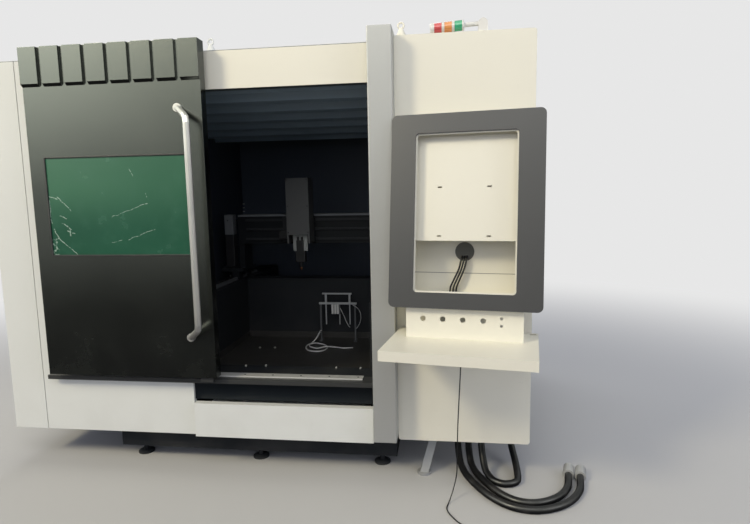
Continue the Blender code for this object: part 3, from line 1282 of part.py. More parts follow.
def make_head(slide_rear):
    """The cutting head hangs below the slide's lower end, on its front and under it."""
    axis_y = slide_rear - Z_SLIDE_THICKNESS / 2
    rear = Z_SLIDE_BOTTOM - FIT
    body = block("cutting_head",
                 (HEAD_CENTRE - HEAD_BODY_WIDTH / 2, axis_y - HEAD_BODY_DEPTH / 2, HEAD_BODY_BOTTOM),
                 (HEAD_CENTRE + HEAD_BODY_WIDTH / 2, axis_y + HEAD_BODY_DEPTH / 2, rear), MOTOR,
                 parent=HEAD_FRAME, rounding=0.004)
    cone_low = HEAD_BODY_BOTTOM - HEAD_CONE_HEIGHT
    cone = drum("head cone", (HEAD_CENTRE, axis_y, cone_low + HEAD_CONE_HEIGHT / 2 + OVERLAP / 2),
                HEAD_CONE_TIP_RADIUS, HEAD_CONE_HEIGHT + OVERLAP, parent=HEAD_FRAME,
                tip=HEAD_BODY_DEPTH / 2 - SHEET, sides=24)
    front_face = slide_rear - Z_SLIDE_THICKNESS - FIT
    collimator = block("head collimator",
                       (HEAD_CENTRE - HEAD_BODY_WIDTH / 3, front_face - HEAD_BODY_DEPTH / 2,
                        rear - 4 * SHEET),
                       (HEAD_CENTRE + HEAD_BODY_WIDTH / 3, front_face, HEAD_BODY_TOP),
                       parent=HEAD_FRAME)
    join(body, cone, collimator)
    fitting_y = front_face - HEAD_BODY_DEPTH / 4
    for number, side in enumerate((-1, 1)):
        x = HEAD_CENTRE + side * HEAD_FITTING_SPACING / 2 * 0.8
        join(body, drum(f"head fitting {number}",
                        (x, fitting_y, HEAD_BODY_TOP + HEAD_FITTING_HEIGHT / 2 - OVERLAP),
                        HEAD_FITTING_RADIUS, HEAD_FITTING_HEIGHT, parent=HEAD_FRAME, sides=12))
    top = cone_low - FIT
    profile = [(0.0, top), (NOZZLE_RADIUS, top), (NOZZLE_RADIUS, top - NOZZLE_HEIGHT * 0.4),
               (NOZZLE_TIP_RADIUS, top - NOZZLE_HEIGHT), (0.0, top - NOZZLE_HEIGHT)]
    turned("nozzle", profile, (HEAD_CENTRE, axis_y, 0.0), finish=COPPER, parent=HEAD_FRAME,
           steps=20)


def make_valve_rack():
    """Posts, two bars, two knobs, hanging rods and three small gas cylinders."""
    floor = FLOOR_HEIGHT + SHEET + FIT
    right = RACK_LEFT + RACK_SPAN
    half = RACK_POST / 2
    rack = block("valve_rack", (RACK_LEFT, RACK_Y - RACK_BAR / 2, RACK_BAR_HEIGHT - RACK_BAR / 2),
                 (right, RACK_Y + RACK_BAR / 2, RACK_BAR_HEIGHT + RACK_BAR / 2), ZINC)
    pieces = []
    for x in (RACK_LEFT + RACK_POST, right - RACK_POST):
        pieces.append(((x - half, RACK_Y - half, floor), (x + half, RACK_Y + half,
                                                          RACK_BAR_HEIGHT)))
        pieces.append(((x - RACK_POST, RACK_Y - RACK_FOOT_LENGTH / 2, floor),
                       (x + RACK_POST, RACK_Y + RACK_FOOT_LENGTH / 2, floor + SHEET)))
    pieces.append(((RACK_LEFT + RACK_TOP_INSET, RACK_Y - RACK_BAR / 2, RACK_TOP_HEIGHT),
                   (right - RACK_TOP_INSET - RACK_POST, RACK_Y + RACK_BAR / 2,
                    RACK_TOP_HEIGHT + RACK_BAR * 0.7)))
    for number, (low, high) in enumerate(pieces):
        join(rack, block(f"rack piece {number}", low, high))
    rise = RACK_TOP_HEIGHT - RACK_BAR_HEIGHT + OVERLAP
    knobs = (RACK_LEFT + 2 * RACK_TOP_INSET, right - 2 * RACK_TOP_INSET)
    for number, x in enumerate(knobs):
        join(rack, drum(f"rack knob {number}", (x, RACK_Y, RACK_BAR_HEIGHT + rise / 2),
                        RACK_KNOB_RADIUS, rise, sides=12))
    rods = (knobs[0], (knobs[0] + knobs[1]) / 2 + RACK_TOP_INSET / 2, knobs[1])
    for number, x in enumerate(rods):
        join(rack, drum(f"rack rod {number}", (x, RACK_Y, RACK_BAR_HEIGHT - RACK_ROD_LENGTH / 2),
                        RACK_ROD_RADIUS, RACK_ROD_LENGTH, sides=10))
    low = RACK_BAR_HEIGHT - RACK_BAR / 2 - GAS_CYLINDER_LENGTH
    for number in range(3):
        x = rods[1] - 2 * GAS_CYLINDER_RADIUS - (number - 0.2) * GAS_CYLINDER_PITCH
        join(rack, drum(f"gas cylinder {number}", (x, RACK_Y, low + GAS_CYLINDER_LENGTH / 2 + OVERLAP),
                        GAS_CYLINDER_RADIUS, GAS_CYLINDER_LENGTH + OVERLAP, sides=14))


def make_laser_source():
    base = BASE_HEIGHT + OUTRIGGER_THICKNESS + FIT
    centre = (LEFT + LEFT + PARTITION_FROM_LEFT) / 2
    low = Vector((centre - SOURCE_WIDTH / 2, SOURCE_FRONT, base + SOURCE_FOOT))
    high = low + Vector((SOURCE_WIDTH, SOURCE_DEPTH, SOURCE_HEIGHT))
    source = block("laser_source", low, high, ZINC, rounding=0.003)
    number = 0
    inset_x, inset_y = SOURCE_WIDTH * 0.4, SOURCE_DEPTH * 0.4
    for sx in (-1, 1):
        for sy in (-1, 1):
            number += 1
            join(source, drum(f"source foot {number}",
                              (centre + sx * inset_x, SOURCE_FRONT + SOURCE_DEPTH / 2 + sy * inset_y,
                               base + (SOURCE_FOOT + OVERLAP * 4) / 2),
                              SOURCE_FOOT_RADIUS, SOURCE_FOOT + OVERLAP * 4, sides=16))
    fins = []
    for fin in range(6):
        x = centre - SOURCE_WIDTH / 3 + fin * SOURCE_WIDTH / 9
        fins.append(((x, SOURCE_FRONT - SEAM, base + SOURCE_FOOT + SOURCE_HEIGHT * 0.3),
                     (x + SOURCE_WIDTH / 22, SOURCE_FRONT + 2 * SEAM,
                      base + SOURCE_FOOT + SOURCE_HEIGHT * 0.7)))
    cut(source, many_blocks("source grille", fins))


def make_drive_plate():
    base = CONSOLE_BASE_HEIGHT + SHEET + FIT
    left, right = CONSOLE_LEFT + DRIVE_PLATE_SIDE_GAP, RIGHT - DRIVE_PLATE_SIDE_GAP
    face = DRIVE_PLATE_FRONT
    board = block("drive_plate", (left, face, base),
                  (right, face + DRIVE_PLATE_THICKNESS, base + DRIVE_PLATE_HEIGHT), ZINC)
    feet = block("drive plate foot", (left, face - 2 * DRIVE_PLATE_SIDE_GAP, base),
                 (right, face + OVERLAP, base + DRIVE_PLATE_THICKNESS))
    join(board, feet)
    modules = []
    top = base + DRIVE_PLATE_HEIGHT - 2 * DUCTING_SIZE
    first = left + DUCTING_SIZE
    for drive in range(DRIVE_COUNT):
        x = first + drive * DRIVE_PITCH
        modules.append(((x, face - DRIVE_DEPTH, top - DRIVE_HEIGHT),
                        (x + DRIVE_WIDTH, face + OVERLAP, top)))
    duct_low = top - DRIVE_HEIGHT - 2 * DUCTING_SIZE
    modules.append(((left + DUCTING_SIZE, face - DUCTING_SIZE, duct_low),
                    (right - DUCTING_SIZE, face + OVERLAP, duct_low + DUCTING_SIZE)))
    modules.append(((first, face - DRIVE_DEPTH / 2, duct_low - DRIVE_HEIGHT),
                    (right - 2 * DUCTING_SIZE, face + OVERLAP, duct_low - DUCTING_SIZE)))
    join(board, many_blocks("drive modules", modules))


def make_console():
    """Inverted U of sheet metal, its front cover, and the base plate on two splayed legs."""
    middle = SHEET / 2
    front = CONSOLE_FRONT_DEPTH + FIT
    rear = BODY_DEPTH - FLANGE - FIT
    profile = [(CONSOLE_LEFT + middle, CONSOLE_SKIRT), (CONSOLE_LEFT + middle, CONSOLE_HEIGHT - middle),
               (RIGHT - middle, CONSOLE_HEIGHT - middle), (RIGHT - middle, CONSOLE_SKIRT)]
    body = folded("console_body", profile, rear - front, (0.0, (front + rear) / 2, 0.0),
                  facing="front", finish=CREAM)
    eye = lifting_eye("console eye", CONSOLE_LEFT + CONSOLE_EYE_FROM_LEFT, CONSOLE_EYE_SETBACK,
                      CONSOLE_HEIGHT)
    join(body, eye)
    cover = pan("console_front", rounded(CONSOLE_LEFT + FIT, CONSOLE_SKIRT, RIGHT, CONSOLE_HEIGHT,
                                         CONSOLE_CORNER, 4),
                CONSOLE_FRONT_DEPTH, SHEET, (0.0, 0.0, 0.0), finish=CREAM)
    make_hinge_arms(cover)
    left, right = CONSOLE_LEFT + SHEET + FIT, RIGHT - SHEET - FIT
    base = block("console_base", (left, front, CONSOLE_BASE_HEIGHT),
                 (right, rear, CONSOLE_BASE_HEIGHT + SHEET), GREY)
    top_x = CONSOLE_LEFT + LEG_TOP_FROM_LEFT
    foot_x = CONSOLE_LEFT + LEG_FOOT_FROM_LEFT
    ends = ((LEG_TOP_SETBACK, LEG_FOOT_SETBACK),
            (BODY_DEPTH - LEG_TOP_SETBACK, BODY_DEPTH - LEG_FOOT_SETBACK))
    for number, (top_y, foot_y) in enumerate(ends):
        join(base, leg(f"console leg {number}", (top_x, top_y), (foot_x, foot_y)))
        join(base, drum(f"leg pad {number}", (foot_x, foot_y, LEG_PAD_THICKNESS / 2),
                        LEG_PAD_RADIUS, LEG_PAD_THICKNESS, sides=20))
    for name, (x, y) in GLAND_PLACES.items():
        join(base, drum(f"gland {name}", (x, y, CONSOLE_BASE_HEIGHT - GLAND_LENGTH / 2 + OVERLAP),
                        GLAND_RADIUS, GLAND_LENGTH, tip=GLAND_RADIUS, sides=20))


def leg(name, top, bottom):
    """A splayed square tube leg, level at both ends."""
    half = LEG_SIZE / 2
    low, high = LEG_PAD_THICKNESS / 2, CONSOLE_BASE_HEIGHT + OVERLAP
    work = bmesh.new()
    bmesh.ops.create_cube(work, size=1.0)
    for corner in work.verts:
        x, y = bottom if corner.co.z < 0 else top
        corner.co = Vector((x + math.copysign(half, corner.co.x), y + math.copysign(half, corner.co.y),
                            low if corner.co.z < 0 else high))
    return put(name, mesh_from(work, name), (0.0, 0.0, 0.0))


def make_hinge_arms(cover):
    """Two arms from the console front to the swing axis, each with a bored knuckle."""
    x, y = SWING_AXIS
    for number, z in enumerate((HINGE_LOW, HINGE_HIGH)):
        arm = block(f"hinge arm {number}", (x - HINGE_ARM / 2, y, z),
                    (x + HINGE_ARM / 2, OVERLAP, z + KNUCKLE_LENGTH))
        knuckle = drum(f"hinge knuckle {number}", (x, y, z + KNUCKLE_LENGTH / 2), KNUCKLE_RADIUS,
                       KNUCKLE_LENGTH, sides=24)
        bore = drum(f"hinge bore {number}", (x, y, z + KNUCKLE_LENGTH / 2), HINGE_PIN_RADIUS + FIT,
                    KNUCKLE_LENGTH * 2, sides=20)
        join(cover, arm, knuckle)
        cut(cover, bore)


def housing_profile(shrink=0.0):
    """Side outline of the operator housing in its own Y and Z: upright back, leaning front."""
    slope = math.tan(LEAN)
    face = BEZEL_THICKNESS / math.cos(LEAN) + FIT / math.cos(LEAN)
    low, high = HOUSING_BOTTOM, HOUSING_TOP

    def front(z):
        return -(BEZEL_FRONT_LOW - (z - BEZEL_BOTTOM) * slope - face)

    loop = [(HOUSING_BACK, low), (HOUSING_BACK, high), (front(high), high), (front(low), low)]
    return inset(loop, shrink) if shrink else loop


def make_housing():
    right = HOUSING_LEFT + HOUSING_WIDTH
    centre = (HOUSING_LEFT + right) / 2
    housing = plate("operator_housing", [housing_profile()], HOUSING_WIDTH, (centre, 0.0, 0.0),
                    "side", CREAM, OPERATOR_FRAME)
    hollow = plate("housing hollow", [housing_profile(HOUSING_WALL)],
                   HOUSING_WIDTH - 2 * HOUSING_WALL, (centre, 0.0, 0.0), "side",
                   parent=OPERATOR_FRAME)
    rim = SCREEN_RIM
    opening = screen_plate("housing opening", rounded(screen_left() + rim, screen_low() + rim,
                                                      screen_left() + SCREEN_WIDTH - rim,
                                                      screen_low() + SCREEN_HEIGHT - rim,
                                                      SCREEN_CORNER - rim / 2),
                           8 * HOUSING_WALL, 2 * HOUSING_WALL + BEZEL_THICKNESS)
    cable_hole = drum("cable hole", (GROMMET_X, HOUSING_BACK, GROMMET_HEIGHT),
                      GROMMET_RADIUS + FIT, HOUSING_WALL * 6, "Y", parent=OPERATOR_FRAME, sides=32)
    slot_y = HOUSING_BACK - HOUSING_WALL * 8
    cable_slot = block("cable slot", (CABLE_SLOT_LEFT, slot_y - CABLE_SLOT_DEPTH / 2,
                                      HOUSING_BOTTOM - HOUSING_WALL),
                       (CABLE_SLOT_LEFT + CABLE_SLOT_WIDTH, slot_y + CABLE_SLOT_DEPTH / 2,
                        HOUSING_BOTTOM + 2 * HOUSING_WALL), parent=OPERATOR_FRAME)
    cut(housing, hollow, opening, cable_hole, cable_slot)
    for number, z in enumerate((HINGE_LOW, HINGE_HIGH)):
        base = z + KNUCKLE_LENGTH + FIT
        knuckle = drum(f"housing knuckle {number}", (0.0, 0.0, base + KNUCKLE_LENGTH / 2),
                       KNUCKLE_RADIUS, KNUCKLE_LENGTH, parent=OPERATOR_FRAME, sides=24)
        tab = block(f"housing tab {number}", (0.0, -KNUCKLE_RADIUS / 2, base),
                    (HOUSING_LEFT + OVERLAP, KNUCKLE_RADIUS / 2, base + KNUCKLE_LENGTH),
                    parent=OPERATOR_FRAME)
        pin = drum(f"hinge pin {number}", (0.0, 0.0, base - KNUCKLE_LENGTH / 2 + OVERLAP),
                   HINGE_PIN_RADIUS, KNUCKLE_LENGTH, parent=OPERATOR_FRAME, sides=20)
        join(housing, knuckle, tab, pin)



def screen_left():
    return BEZEL_LEFT + (BEZEL_WIDTH - SCREEN_WIDTH) / 2


def screen_low():
    return SCREEN_ABOVE_BEZEL


def screen_plate(name, loop, thickness, depth, finish=None, smooth=None, holes=()):
    """A plate parallel to the bezel. Its outline is in the bezel's own plane: X along the unit's
    width, Y up the slope from the bezel's lower edge; depth is behind the bezel's front face."""
    lowest = Vector((0.0, -BEZEL_FRONT_LOW, BEZEL_BOTTOM))
    inward = Vector((0.0, math.cos(LEAN), -math.sin(LEAN)))
    middle = lowest + inward * depth
    return plate(name, [loop, *holes], thickness, middle, (math.pi / 2 - LEAN, 0.0, 0.0), finish,
                 OPERATOR_FRAME, smooth)


def make_bezel():
    outer = rounded(BEZEL_LEFT, 0.0, BEZEL_LEFT + BEZEL_WIDTH, BEZEL_HEIGHT, BEZEL_CORNER, 6)
    hole = rounded(screen_left(), screen_low(), screen_left() + SCREEN_WIDTH,
                   screen_low() + SCREEN_HEIGHT, SCREEN_CORNER)
    screen_plate("operator_bezel", outer, BEZEL_THICKNESS, BEZEL_THICKNESS / 2, BEZEL_GREY,
                 smooth=30, holes=[hole])


def make_monitor_plate():
    """The upper inner plate that a screen bolts to, with its lower edge folded back."""
    left = HOUSING_LEFT + HOUSING_WALL + FIT
    right = HOUSING_LEFT + HOUSING_WIDTH - HOUSING_WALL - FIT
    low = (MONITOR_PLATE_BOTTOM - BEZEL_BOTTOM) / math.cos(LEAN) + MONITOR_PLATE_SETBACK * math.tan(LEAN)
    centre = (left + right) / 2
    slots = []
    for dx in (-0.5, 0.5):
        for dz in (0.0, 1.0):
            x = centre - SLOT_SHIFT + dx * SLOT_SPACING
            y = low + (SLOT_HEIGHT - MONITOR_PLATE_BOTTOM) + dz * SLOT_SPACING
            slots.append(rounded(x - SLOT_LENGTH / 2, y - SLOT_WIDTH / 2, x + SLOT_LENGTH / 2,
                                 y + SLOT_WIDTH / 2, SLOT_WIDTH / 2 - FIT, 2))
    board = screen_plate("monitor_plate", rectangle(left, low, right, low + MONITOR_PLATE_HEIGHT),
                         SHEET, MONITOR_PLATE_SETBACK + SHEET / 2, CREAM, holes=slots)
    fold = screen_plate("monitor plate fold", rectangle(left, low, right, low + SHEET),
                        MONITOR_PLATE_RETURN, MONITOR_PLATE_SETBACK + MONITOR_PLATE_RETURN / 2)
    join(board, fold)


def make_grommet():
    """A turned rubber grommet that fills the cable hole, with a lip on each side of the sheet."""
    lip = GROMMET_RADIUS + GROMMET_LIP
    half = HOUSING_WALL / 2 + FIT
    edge = half + GROMMET_LIP
    profile = [(0.0, edge), (lip - GROMMET_LIP / 2, edge), (lip, half + GROMMET_LIP / 2),
               (lip, half), (GROMMET_RADIUS, half), (GROMMET_RADIUS, -half), (lip, -half),
               (lip, -half - GROMMET_LIP / 2), (lip - GROMMET_LIP / 2, -edge), (0.0, -edge)]
    turned("cable_grommet", profile, (GROMMET_X, HOUSING_BACK - HOUSING_WALL / 2, GROMMET_HEIGHT),
           "Y", BLACK, OPERATOR_FRAME, steps=32)


def make_button_panel():
    bottom, top = TRAY_TOP + FIT, HOUSING_BOTTOM - FIT
    panel = pan("button_panel", rectangle(PANEL_LEFT, bottom, PANEL_LEFT + PANEL_WIDTH, top),
                PANEL_DEPTH, TRAY_WALL, (0.0, -PANEL_FRONT, 0.0), finish=CREAM,
                parent=OPERATOR_FRAME)
    for number in range(BUTTON_COUNT):
        cut(panel, drum(f"button hole {number}",
                        (BUTTON_FIRST + number * BUTTON_SPACING, -PANEL_FRONT, BUTTON_HEIGHT),
                        BUTTON_RADIUS, TRAY_WALL * 6, "Y", parent=OPERATOR_FRAME, sides=24))
    for number, side in enumerate((-0.5, 0.5)):
        cut(panel, drum(f"small hole {number}",
                        (SMALL_HOLE_X, -PANEL_FRONT, BUTTON_HEIGHT - SMALL_HOLE_RADIUS / 2
                         + side * SMALL_HOLE_SPACING),
                        SMALL_HOLE_RADIUS, TRAY_WALL * 6, "Y", parent=OPERATOR_FRAME, sides=16))
    cable_pass = block("cable pass", (CABLE_SLOT_LEFT, HOUSING_BACK - HOUSING_WALL * 8
                                      - CABLE_SLOT_DEPTH / 2, top - 2 * TRAY_WALL),
                       (CABLE_SLOT_LEFT + CABLE_SLOT_WIDTH, HOUSING_BACK + TRAY_WALL, top + TRAY_WALL),
                       parent=OPERATOR_FRAME)
    cord_pass = drum("cord pass", (CORD_EXIT_X, CORD_EXIT_Y, bottom), CORD_BOSS_RADIUS, TRAY_WALL * 4,
                     parent=OPERATOR_FRAME, sides=16)
    cut(panel, cable_pass, cord_pass)


def make_tray():
    tray = pan("keyboard_tray", rectangle(TRAY_LEFT, -TRAY_REACH, TRAY_LEFT + TRAY_WIDTH, TRAY_BACK),
               TRAY_LIP, TRAY_WALL, (0.0, 0.0, TRAY_TOP), side=-1, facing="up", finish=CREAM,
               parent=OPERATOR_FRAME)
    right = TRAY_LEFT + TRAY_WIDTH
    notch = block("tray notch", (right - TRAY_NOTCH - TRAY_WALL, TRAY_BACK - TRAY_NOTCH,
                                 TRAY_TOP - 2 * TRAY_WALL),
                  (right - TRAY_WALL * 3, TRAY_BACK - TRAY_WALL * 3, TRAY_TOP + TRAY_WALL),
                  parent=OPERATOR_FRAME)
    boss = drum("cord boss", (CORD_EXIT_X, CORD_EXIT_Y, TRAY_TOP - CORD_BOSS_LENGTH / 2 - OVERLAP),
                CORD_BOSS_RADIUS, CORD_BOSS_LENGTH, parent=OPERATOR_FRAME, sides=16)
    cut(tray, notch)
    join(tray, boss)


def make_lamp():
    axis_z = CONSOLE_HEIGHT + LAMP_AXIS_HEIGHT
    base = drum("lamp_base", (LAMP_X, LAMP_Y, CONSOLE_HEIGHT + FIT + LAMP_FOOT_THICKNESS / 2),
                LAMP_FOOT_RADIUS, LAMP_FOOT_THICKNESS, finish=LAMP_WHITE, sides=32)
    half = LAMP_EYE_WIDTH / 2 + FIT
    for number, side in enumerate((-1, 1)):
        near, far = side * half, side * (half + LAMP_EAR_THICKNESS)
        low = CONSOLE_HEIGHT + FIT + LAMP_FOOT_THICKNESS - OVERLAP
        ear = block(f"lamp ear {number}", (LAMP_X - LAMP_EYE_RADIUS, LAMP_Y + min(near, far), low),
                    (LAMP_X + LAMP_EYE_RADIUS, LAMP_Y + max(near, far), axis_z))
        cheek = drum(f"lamp cheek {number}", (LAMP_X, LAMP_Y + (near + far) / 2, axis_z),
                     LAMP_EYE_RADIUS, LAMP_EAR_THICKNESS, "Y", sides=24)
        join(base, ear, cheek)
    pin = drum("lamp pin", (LAMP_X, LAMP_Y, axis_z), LAMP_PIN_RADIUS,
               2 * (half + LAMP_EAR_THICKNESS / 2), "Y", sides=16)
    join(base, pin)
    reach = LAMP_NECK_LENGTH
    step = LAMP_LENS + LAMP_SPACER
    profile = [(0.0, -LAMP_EYE_RADIUS / 2), (LAMP_NECK_RADIUS, -LAMP_EYE_RADIUS / 2),
               (LAMP_NECK_RADIUS, -reach), (LAMP_RADIUS, -reach - LAMP_SPACER / 2)]
    for lens in range(3):
        start = -reach - LAMP_SPACER - lens * step
        waist = LAMP_RADIUS - LAMP_GROOVE
        profile += [(LAMP_RADIUS, start), (waist, start), (waist, start - LAMP_LENS),
                    (LAMP_RADIUS, start - LAMP_LENS)]
    end = -reach - LAMP_SPACER - 3 * step + LAMP_SPACER
    profile += [(LAMP_RADIUS, end - LAMP_CAP), (LAMP_RADIUS * 0.8, end - LAMP_CAP * 1.3),
                (0.0, end - LAMP_CAP * 1.3)]
    tower = turned("lamp_tower", profile, (0.0, 0.0, 0.0), "X", LAMP_WHITE, LAMP_FRAME, steps=24)
    eye = drum("lamp eye", (0.0, 0.0, 0.0), LAMP_EYE_RADIUS, LAMP_EYE_WIDTH, "Y",
               parent=LAMP_FRAME, sides=24)
    bore = drum("lamp eye bore", (0.0, 0.0, 0.0), LAMP_PIN_RADIUS + FIT, LAMP_EYE_WIDTH * 3, "Y",
                parent=LAMP_FRAME, sides=16)
    neck_trim = block("lamp neck trim", (-LAMP_EYE_RADIUS * 2, half - FIT, -LAMP_NECK_RADIUS * 2),
                      (LAMP_EYE_RADIUS, half + LAMP_RADIUS, LAMP_NECK_RADIUS * 2),
                      parent=LAMP_FRAME)
    neck_trim_low = block("lamp neck trim low",
                          (-LAMP_EYE_RADIUS * 2, -half - LAMP_RADIUS, -LAMP_NECK_RADIUS * 2),
                          (LAMP_EYE_RADIUS, -half + FIT, LAMP_NECK_RADIUS * 2), parent=LAMP_FRAME)
    join(tower, eye)
    cut(tower, neck_trim, neck_trim_low, bore)


def make_monitor_cables():
    """Three cables from the grommet down into the slot in the housing's floor."""
    unit = MONITOR_CABLE
    face = HOUSING_BACK - HOUSING_WALL - GROMMET_LIP - unit / 4
    floor = HOUSING_BOTTOM + HOUSING_WALL + FIT
    slot_y = HOUSING_BACK - HOUSING_WALL * 8
    slot_x = CABLE_SLOT_LEFT + CABLE_SLOT_WIDTH / 2
    high = GROMMET_HEIGHT
    for number in range(3):
        start = GROMMET_X + (number - 1) * CABLE_SPACING
        end = slot_x + (number - 1) * 1.6 * unit
        points = [(start, face, high - 2.5 * unit), (start, face - 1.5 * unit, high - 2.9 * unit),
                  (start - 0.25 * unit, face - 2.75 * unit, high - 4.75 * unit),
                  (start - 1.25 * unit, face - 3 * unit, high - 8.75 * unit),
                  ((start + end - unit) / 2, slot_y - 1.5 * unit, high - 14 * unit),
                  (end + 0.4 * unit, slot_y - 0.5 * unit, high - 18.75 * unit),
                  (end, slot_y, floor)]
        route = smooth_route(points, 2.5 * unit)
        tube(f"monitor_cable_{number + 1}", route, unit / 2, BLACK, OPERATOR_FRAME)


def make_panel_cord():
    """A thin cord from under the tray to the floor and forward to its plug."""
    turn = Matrix.Rotation(-SWING_REST, 2)
    x, y = turn @ Vector((CORD_EXIT_X, CORD_EXIT_Y)) + Vector(SWING_AXIS)
    top = TRAY_TOP - CORD_BOSS_LENGTH - OVERLAP - FIT
    unit = PANEL_CORD
    lie = unit / 2 + FIT
    points = [(x, y, top), (x, y, top - 6 * unit)]
    for across, forward, height in ((-0.8, 1.2, 0.79), (-2.8, 2.4, 0.49), (-3.6, 3.2, 0.27),
                                    (-4, 4, 0.153), (-7.2, 8, 0.062), (-11.2, 15, 0),
                                    (-12.4, 24, 0), (-8, 34, 0), (-1.4, 42.8, 0), (8, 49, 0),
                                    (19, 52.4, 0)):
        points.append((x + across * unit, y - forward * unit, max(height * top, lie)))
    route = smooth_route(points, 4.5 * unit, lie)
    tube("panel_cord", route, unit / 2, BLACK)
    along = (route[-1] - route[-2]).normalized()
    middle = route[-1] + along * (FIT + PLUG_LENGTH / 2)
    plug = block("panel_cord_plug", (0.0, -PLUG_WIDTH / 2, FIT), (PLUG_LENGTH, PLUG_WIDTH / 2,
                                                                  PLUG_HEIGHT), BLACK,
                 rounding=0.0015)
    plug.rotation_euler = (0.0, 0.0, math.atan2(along.y, along.x))
    plug.location = (middle.x, middle.y, (PLUG_HEIGHT + FIT) / 2)


def gland_top():
    return CONSOLE_BASE_HEIGHT - GLAND_LENGTH + OVERLAP - FIT


def beside(points, shift):
    """The same route moved sideways in plan, to the left of its heading."""
    heading = Vector((0.0, -1.0))
    moved = []
    for i, point in enumerate(points):
        ahead = Vector(points[min(i + 1, len(points) - 1)]) - Vector(points[max(i - 1, 0)])
        if ahead.xy.length > HOSE / 4:
            heading = ahead.xy.normalized()
        moved.append((point[0] - heading.y * shift, point[1] + heading.x * shift, point[2]))
    return moved


def make_long_hose(name, coupling_name, shift):
    """One of the pair of hoses that lead away over the floor, with the coupling at its end."""
    top = gland_top()
    x, y = LONG_GLAND_X, LONG_GLAND_SETBACK
    lie = HOSE / 2 + FIT
    points = [(x, y, top), (x, y, top - 1.4 * HOSE), (x, y - 0.5 * HOSE, top - 3.3 * HOSE)]
    for across, forward, height in ((0.12, 1.94, 2.2), (0.41, 3.66, 1), (1.16, 5.78, 0),
                                    (2.41, 8.44, 0), (4.03, 10.94, 0), (6.1, 12.72, 0),
                                    (8.6, 13.28, 0), (11.1, 12.5, 0), (13.28, 10.78, 0),
                                    (14.84, 8.28, 0)):
        points.append((x + across * HOSE, y - forward * HOSE, max(height * HOSE, lie)))
    points.append((x + 15.6 * HOSE, y - 5.3 * HOSE, COUPLING_RADIUS + FIT))
    route = smooth_route(beside(points, shift), 1.6 * HOSE, lie)
    tube(name, route, HOSE / 2, BLACK)
    along = (route[-1] - route[-2]).normalized()
    centre = route[-1] + along * (FIT + COUPLING_LENGTH / 2 + COUPLING_RADIUS * abs(along.z))
    coupling = drum(coupling_name, (centre.x, centre.y, COUPLING_RADIUS + FIT), COUPLING_RADIUS,
                    COUPLING_LENGTH, "X", SILVER, sides=24)
    coupling.rotation_euler = (0.0, math.pi / 2, math.atan2(along.y, along.x))


def make_hoses():
    make_long_hose("hose_long", "hose_coupling", -HOSE_SPREAD * HOSE)
    make_long_hose("hose_long_inner", "hose_coupling_inner", HOSE_SPREAD * HOSE)
    top = gland_top()
    lie = HOSE / 2 + FIT
    x, y = GLAND_PLACES["loop out"]
    u, v = GLAND_PLACES["loop back"]
    span = u - x
    points = [(x, y, top), (x, y, top - 1.4 * HOSE), (x, y - 0.56 * HOSE, top - 3.3 * HOSE),
              (x + 0.04 * span, y - 1.9 * HOSE, 2.25 * HOSE),
              (x + 0.12 * span, y - 3.45 * HOSE, HOSE), (x + 0.33 * span, y - 5.06 * HOSE, lie),
              (x + 0.67 * span, y - 5.8 * HOSE, lie), (x + 1.03 * span, y - 4.94 * HOSE, lie),
              (u + 0.12 * span, v - 6.9 * HOSE, lie), (u + 0.11 * span, v - 4.4 * HOSE, 1.25 * HOSE),
              (u + 0.05 * span, v - 2.25 * HOSE, 2.4 * HOSE), (u, v - 0.62 * HOSE, top - 3.1 * HOSE),
              (u, v, top - 1.4 * HOSE), (u, v, top)]
    tube("hose_loop", smooth_route(points, 1.6 * HOSE, lie), HOSE / 2, BLACK)


def make_air_tube():
    """A pale air tube that lies in loose loops on the chip floor."""
    unit = AIR_TUBE
    lie = FLOOR_HEIGHT + SHEET + unit / 2 + FIT
    x, y = RACK_LEFT + RACK_POST, RACK_Y - RACK_POST / 2
    points = [(x, y - 4 * FIT - unit / 8, lie + 7.5 * unit)]
    for across, forward, rise in ((-0.5, 3.75, 7), (-2.25, 8.75, 3.25), (-5.5, 13, 0),
                                  (-7.25, 16.6, 0), (-6.5, 24.4, 0), (-2.25, 31.1, 0), (5, 32.6, 0),
                                  (9.25, 27.4, 0), (8.75, 19.4, 0), (3.75, 14.1, 0.25),
                                  (-2, 14.6, 1.1), (-5, 18.6, 1), (-3.25, 23.4, 0.75),
                                  (2.25, 25.4, 0.25), (8.75, 23.6, 1.1), (15.25, 22.1, 0.4),
                                  (22.5, 22.9, 0), (28.75, 21.1, 0)):
        points.append((x + across * unit, y - forward * unit, lie + rise * unit))
    tube("air_tube", smooth_route(points, 2.6 * unit, lie), unit / 2, CLEAR_TUBE)


def centre_footprint():
    """Shift the whole machine in X and Y so that its footprint, cords apart, is centred."""
    loose = ("panel_cord", "panel_cord_plug", "hose_long", "hose_long_inner", "hose_loop",
             "hose_coupling", "hose_coupling_inner")
    bpy.context.view_layer.update()
    graph = bpy.context.evaluated_depsgraph_get()
    low, high = Vector((1e9, 1e9)), Vector((-1e9, -1e9))
    for piece in PARTS.objects:
        if piece.type == "EMPTY" or piece.name in loose:
            continue
        shown = piece.evaluated_get(graph)
        mesh = shown.to_mesh()
        for corner in mesh.vertices:
            spot = piece.matrix_world @ corner.co
            low = Vector((min(low.x, spot.x), min(low.y, spot.y)))
            high = Vector((max(high.x, spot.x), max(high.y, spot.y)))
        shown.to_mesh_clear()
    middle = (low + high) / 2
    MACHINE.location = (-middle.x, -middle.y, 0.0)


